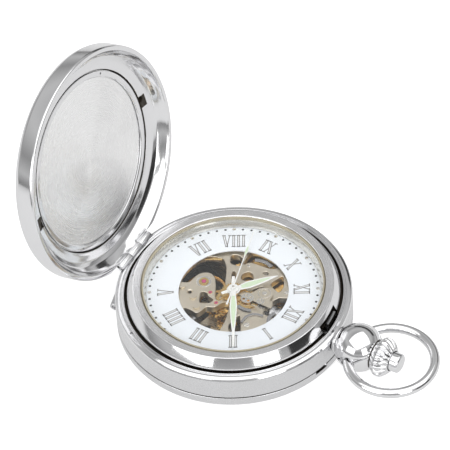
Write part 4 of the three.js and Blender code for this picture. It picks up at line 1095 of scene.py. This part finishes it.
def jewel(name, place, r, top):
    """A ruby bearing in its brass seat."""
    show(ring(f"{name}_jewel", place, 0.12, r, top - 0.12, top + 0.02, 24), "case", "ruby")
    seat = ring(f"{name}_jewel_seat", place, r, r + 0.12, top - 0.1, top + 0.03, 24)
    show(seat, "case", "brass")


def pierced_cap(name, place, r, bottom, top):
    """A small toothed steel cap with four round holes through its web."""
    holes = [circle(place, r * 0.16, 16)]
    for degrees in (45, 135, 225, 315):
        holes.append(circle(about(place, r * 0.52, degrees), r * 0.2, 16))
    cap = plate(name, gear_outline(place, r, r * 0.9, 24), bottom, top, holes)
    show(cap, "case", "spring_steel", look="bright")


def rack(name, centre, r, start, end, bottom, top):
    """A curved strip of steel with teeth along its outer edge; angles are in degrees."""
    teeth, back_steps = 40, 12
    outline = []
    for k in range(teeth + 1):
        outline.append(about(centre, r + (0.16 if k % 2 else -0.14), start + (end - start) * k / teeth))
    outline += arc(centre, r - 0.75, end, start, back_steps)
    show(plate(name, outline, bottom, top, chamfer=0.02), "case", "spring_steel")


MOTION_WORK_COVER = [
    (1.9, -1.9), (1.1, -0.9), (1.7, 1.0), (3.3, 1.5), (4.2, 3.4), (5.7, 4.1), (7.3, 3.4), (7.6, 1.6),
    (8.6, 0.9), (8.9, -1.0), (7.6, -1.5), (5.4, -1.2), (3.6, -2.2),
]
DIAL_SIDE_SCREWS = [((6.6, -6.2), 0.62), ((9.9, -4.6), 0.5), ((-1.2, 8.0), 0.34), ((9.3, 5.2), 0.45)]


def make_dial_side_details():
    """Small pieces on the dial side of the main plate."""
    top = PLATE_Z
    for name, place, r in (("pallet", PALLET, 0.36), ("escape", ESCAPE, 0.36), ("third", THIRD, 0.34)):
        jewel(name, tuple(place), r, top)
    boss = ring("balance_boss", tuple(BALANCE), 1.05, 1.55, top, top + 0.08, 48)
    show(boss, "case", "champagne_plate", look="bright")
    for k, (place, r) in enumerate(DIAL_SIDE_SCREWS):
        screw(f"plate_screw_{k}", place, r, top, top + 0.12, random.uniform(0, math.pi))
    cover_low, cover_high = 7.82, 7.88
    cover_outline = smooth(MOTION_WORK_COVER, 6)
    cover = plate("motion_work_cover", cover_outline, cover_low, cover_high, [circle((0, 0), 1.25, 40)], 0.02)
    show(cover, "case", "champagne_plate")
    cap_low, cap_high = cover_high + 0.01, cover_high + 0.05
    ring_mark = ring("keeper_ring", (5.7, 2.6), 1.2, 1.35, cover_high, cap_high, 40, 0.02)
    show(ring_mark, "case", "spring_steel", look="bright")
    pierced_cap("minute_cap_wheel", (3.3, -0.2), 1.4, cap_low, cap_high)
    pierced_cap("intermediate_cap_wheel", (6.1, 0.3), 0.85, cap_low, cap_high)
    screw("keeper_screw", (5.7, 2.6), 0.5, cover_high, cover_high + 0.1, random.uniform(0, math.pi))
    rack("keyless_rack", (4.0, 0.4), 3.6, -118, -62, top + 0.02, top + 0.3)
    rack("barrel_rack", (BARREL.x - 1.8, BARREL.y - 1.6), 4.4, 60, 118, top + 0.02, top + 0.3)
    strap_outline = ribbon([(-10, 5.4), (-8.4, 6.3), (-6.8, 7)], 0.5)
    strap = plate("balance_index", strap_outline, top + 0.02, top + 0.2, chamfer=0.04)
    show(strap, "case", "brass")


def make_balance():
    staff_low = low("balance_wheel").z
    rim_low, rim_high = staff_low + 1.25, staff_low + 1.75
    spoke_low, spoke_high = rim_low + 0.15, rim_low + 0.37
    centre = tuple(BALANCE)
    balance = ring("balance_wheel_fine", centre, 4.25, 4.9, rim_low, rim_high, 96, 0.08)
    for degrees in (35, 155, 275):
        spoke = ribbon([centre, about(centre, 4.5, degrees)], 0.55)
        fuse(balance, plate("spoke", spoke, spoke_low, spoke_high))
    staff = [
        (0, staff_low), (0.18, staff_low), (0.18, 3.8), (0.6, 3.8), (0.6, 4.25),
        (1, 4.35), (1, 4.5), (0.18, 4.5), (0.18, 7.2), (0, 7.2),
    ]
    fuse(balance, lathe("staff", staff, 32, centre, closed=False))
    show(balance, "balance", "gilt_balance", ["balance_wheel"])
    for k in range(12):
        place = about(centre, 4.57, 30 * k + 12)
        weight = disc(f"balance_screw_{k}", place, 0.2, rim_high - 0.02, rim_high + 0.1, 16)
        show(weight, "balance", "gilt_balance")


def make_barrel():
    low_z, high_z = low("mainspring_barrel").z, high("mainspring_barrel").z
    profile = [
        (1, low_z), (7, low_z), (7, high_z), (1, high_z),
        (1, high_z - 0.17), (6.75, high_z - 0.17), (6.75, low_z + 0.2), (1, low_z + 0.2),
    ]
    drum = lathe("barrel_fine", rounded(profile, 0.06, 2), FINE, tuple(BARREL))
    show(drum, "barrel", "brass", ["mainspring_barrel"])
    outline = gear_outline(BARREL, 7.62, 7.28, 56)
    teeth = plate("barrel_teeth", outline, high_z - 0.3, high_z, [circle(BARREL, 6.98, 96)])
    show(teeth, "barrel", "brass")


def make_movement_shadow():
    """A dark ring that closes the gap round the movement."""
    floor = ring("movement_shadow", (0, 0), 17.3, 17.8, 3.2, 5.5, FINE)
    show(floor, "case", "nickel_bridge", look="shadow")


random.seed(7)
make_case_band()
make_bezel()
make_crystal_and_flange()
make_front_cover()
make_rear_cover()
make_pendant()
make_bow()
make_crown()
make_dial()
make_hands()
make_main_plate()
make_dial_side_details()
make_balance()
make_barrel()
make_movement_shadow()


# ---- Floor, light and camera ----

CAMERA = {
    "azimuth": math.radians(33.143),
    "elevation": math.radians(46.369),
    "roll": math.radians(-3.603),
    "distance": 900,
    "target": Vector((-15.08, 21.47, 0)),
    "lens": 347.75,
}
FLOOR_WIDTH = 6000
WORLD_STRENGTH = 0.7


def paper(name, color, glow, spot_size):
    """Matt studio paper; a little light of its own keeps shadows soft."""
    made = material(name, color, metallic=0, roughness=0.8, tint=0.03, fineness=1 / spot_size)
    shader = made.node_tree.nodes["Principled BSDF"]
    set_inputs(shader, Emission_Color=(1, 1, 1, 1), Emission_Strength=glow)
    return made


def rectangle(name, width, height):
    """A flat sheet about its own middle."""
    x, y = width / 2, height / 2
    return object_from(name, [(-x, -y, 0), (x, -y, 0), (x, y, 0), (-x, y, 0)], [(0, 1, 2, 3)])


def make_floor():
    """White paper for the camera, and greyer paper for what the polished metal mirrors."""
    for name, tone, glow, depth in (("floor", 0.8, 0.6, -0.02), ("mirrored_floor", 0.66, 0.16, -0.04)):
        sheet = rectangle(name, FLOOR_WIDTH, FLOOR_WIDTH)
        sheet.location.z = depth * MM
        sheet.data.materials.append(paper(name + "_paper", (tone, tone, tone), glow, 40))
        mirrored = name == "mirrored_floor"
        sheet.visible_camera = not mirrored
        sheet.visible_diffuse = not mirrored
        sheet.visible_transmission = not mirrored
        sheet.visible_glossy = mirrored
        sheet.visible_shadow = False


def softbox(name, place, target, width, height, power):
    light = bpy.data.lights.new(name, "AREA")
    light.shape = "RECTANGLE"
    light.size = width * MM
    light.size_y = height * MM
    light.energy = power
    lamp = bpy.data.objects.new(name, light)
    lamp.location = Vector(place) * MM
    aim = (Vector(target) - Vector(place)).normalized()
    lamp.rotation_mode = "QUATERNION"
    lamp.rotation_quaternion = aim.to_track_quat("-Z", "Y")
    bpy.context.scene.collection.objects.link(lamp)
    lamp.visible_camera = False


def card(name, centre, normal, width, height, value):
    """A studio card that only shows in reflections."""
    flat = rectangle(name, width, height)
    paint, _, shader = blank_material(name + "_paint")
    set_inputs(shader, Base_Color=(value, value, value, 1), Roughness=0.9)
    flat.data.materials.append(paint)
    flat.rotation_mode = "QUATERNION"
    flat.rotation_quaternion = Vector(normal).to_track_quat("Z", "Y")
    flat.location = Vector(centre) * MM
    flat.visible_camera = False
    flat.visible_diffuse = False
    flat.visible_shadow = False


def make_world():
    """A pale studio: bright above, greyer towards the horizon."""
    world = bpy.data.worlds.new("studio")
    bpy.context.scene.world = world
    world.use_nodes = True
    tree = world.node_tree
    link = tree.links.new
    place = new_node(tree, "TexCoord").outputs["Generated"]
    apart = new_node(tree, "SeparateXYZ")
    link(place, apart.inputs[0])
    ramp = new_node(tree, "ValToRGB")
    stops = [(0.0, 0.3), (0.15, 0.8), (0.35, 0.45), (0.6, 0.85), (0.85, 0.6)]
    elements = ramp.color_ramp.elements
    while len(elements) < len(stops):
        elements.new(0.5)
    for element, (position, value) in zip(elements, stops):
        element.position = position
        element.color = (value, value, value, 1)
    link(apart.outputs["Z"], ramp.inputs[0])
    background = tree.nodes["Background"]
    link(ramp.outputs[0], background.inputs["Color"])
    background.inputs["Strength"].default_value = WORLD_STRENGTH


def make_camera():
    data = bpy.data.cameras.new("camera")
    data.lens = CAMERA["lens"]
    data.sensor_width = 36
    data.clip_start, data.clip_end = 0.05, 20
    camera = bpy.data.objects.new("camera", data)
    bpy.context.scene.collection.objects.link(camera)
    azimuth, elevation, roll = CAMERA["azimuth"], CAMERA["elevation"], CAMERA["roll"]
    level = math.cos(elevation)
    back = Vector((math.sin(azimuth) * level, -math.cos(azimuth) * level, math.sin(elevation)))
    right = (-back).cross(Z_AXIS).normalized()
    up = right.cross(-back)
    right_rolled = right * math.cos(roll) + up * math.sin(roll)
    up_rolled = -right * math.sin(roll) + up * math.cos(roll)
    turn = Matrix((right_rolled, up_rolled, back)).transposed().to_4x4()
    place = (CAMERA["target"] + back * CAMERA["distance"]) * MM
    camera.matrix_world = Matrix.Translation(place) @ turn
    bpy.context.scene.camera = camera


make_floor()
make_world()
softbox("overhead", (120, -60, 620), (0, 0, 0), 1100, 900, 3.4)
softbox("front_fill", (520, -300, 240), (0, 0, 10), 260, 320, 0.6)
softbox("side_fill", (-120, -620, 300), (0, 0, 10), 500, 300, 1.1)
card("dark_card_right", (420, 60, 120), (-1, -0.1, -0.1), 240, 140, 0.02)
card("dark_card_back", (-60, 520, 200), (0, -1, -0.2), 700, 120, 0.03)
make_camera()
bpy.context.scene.view_settings.view_transform = "Standard"
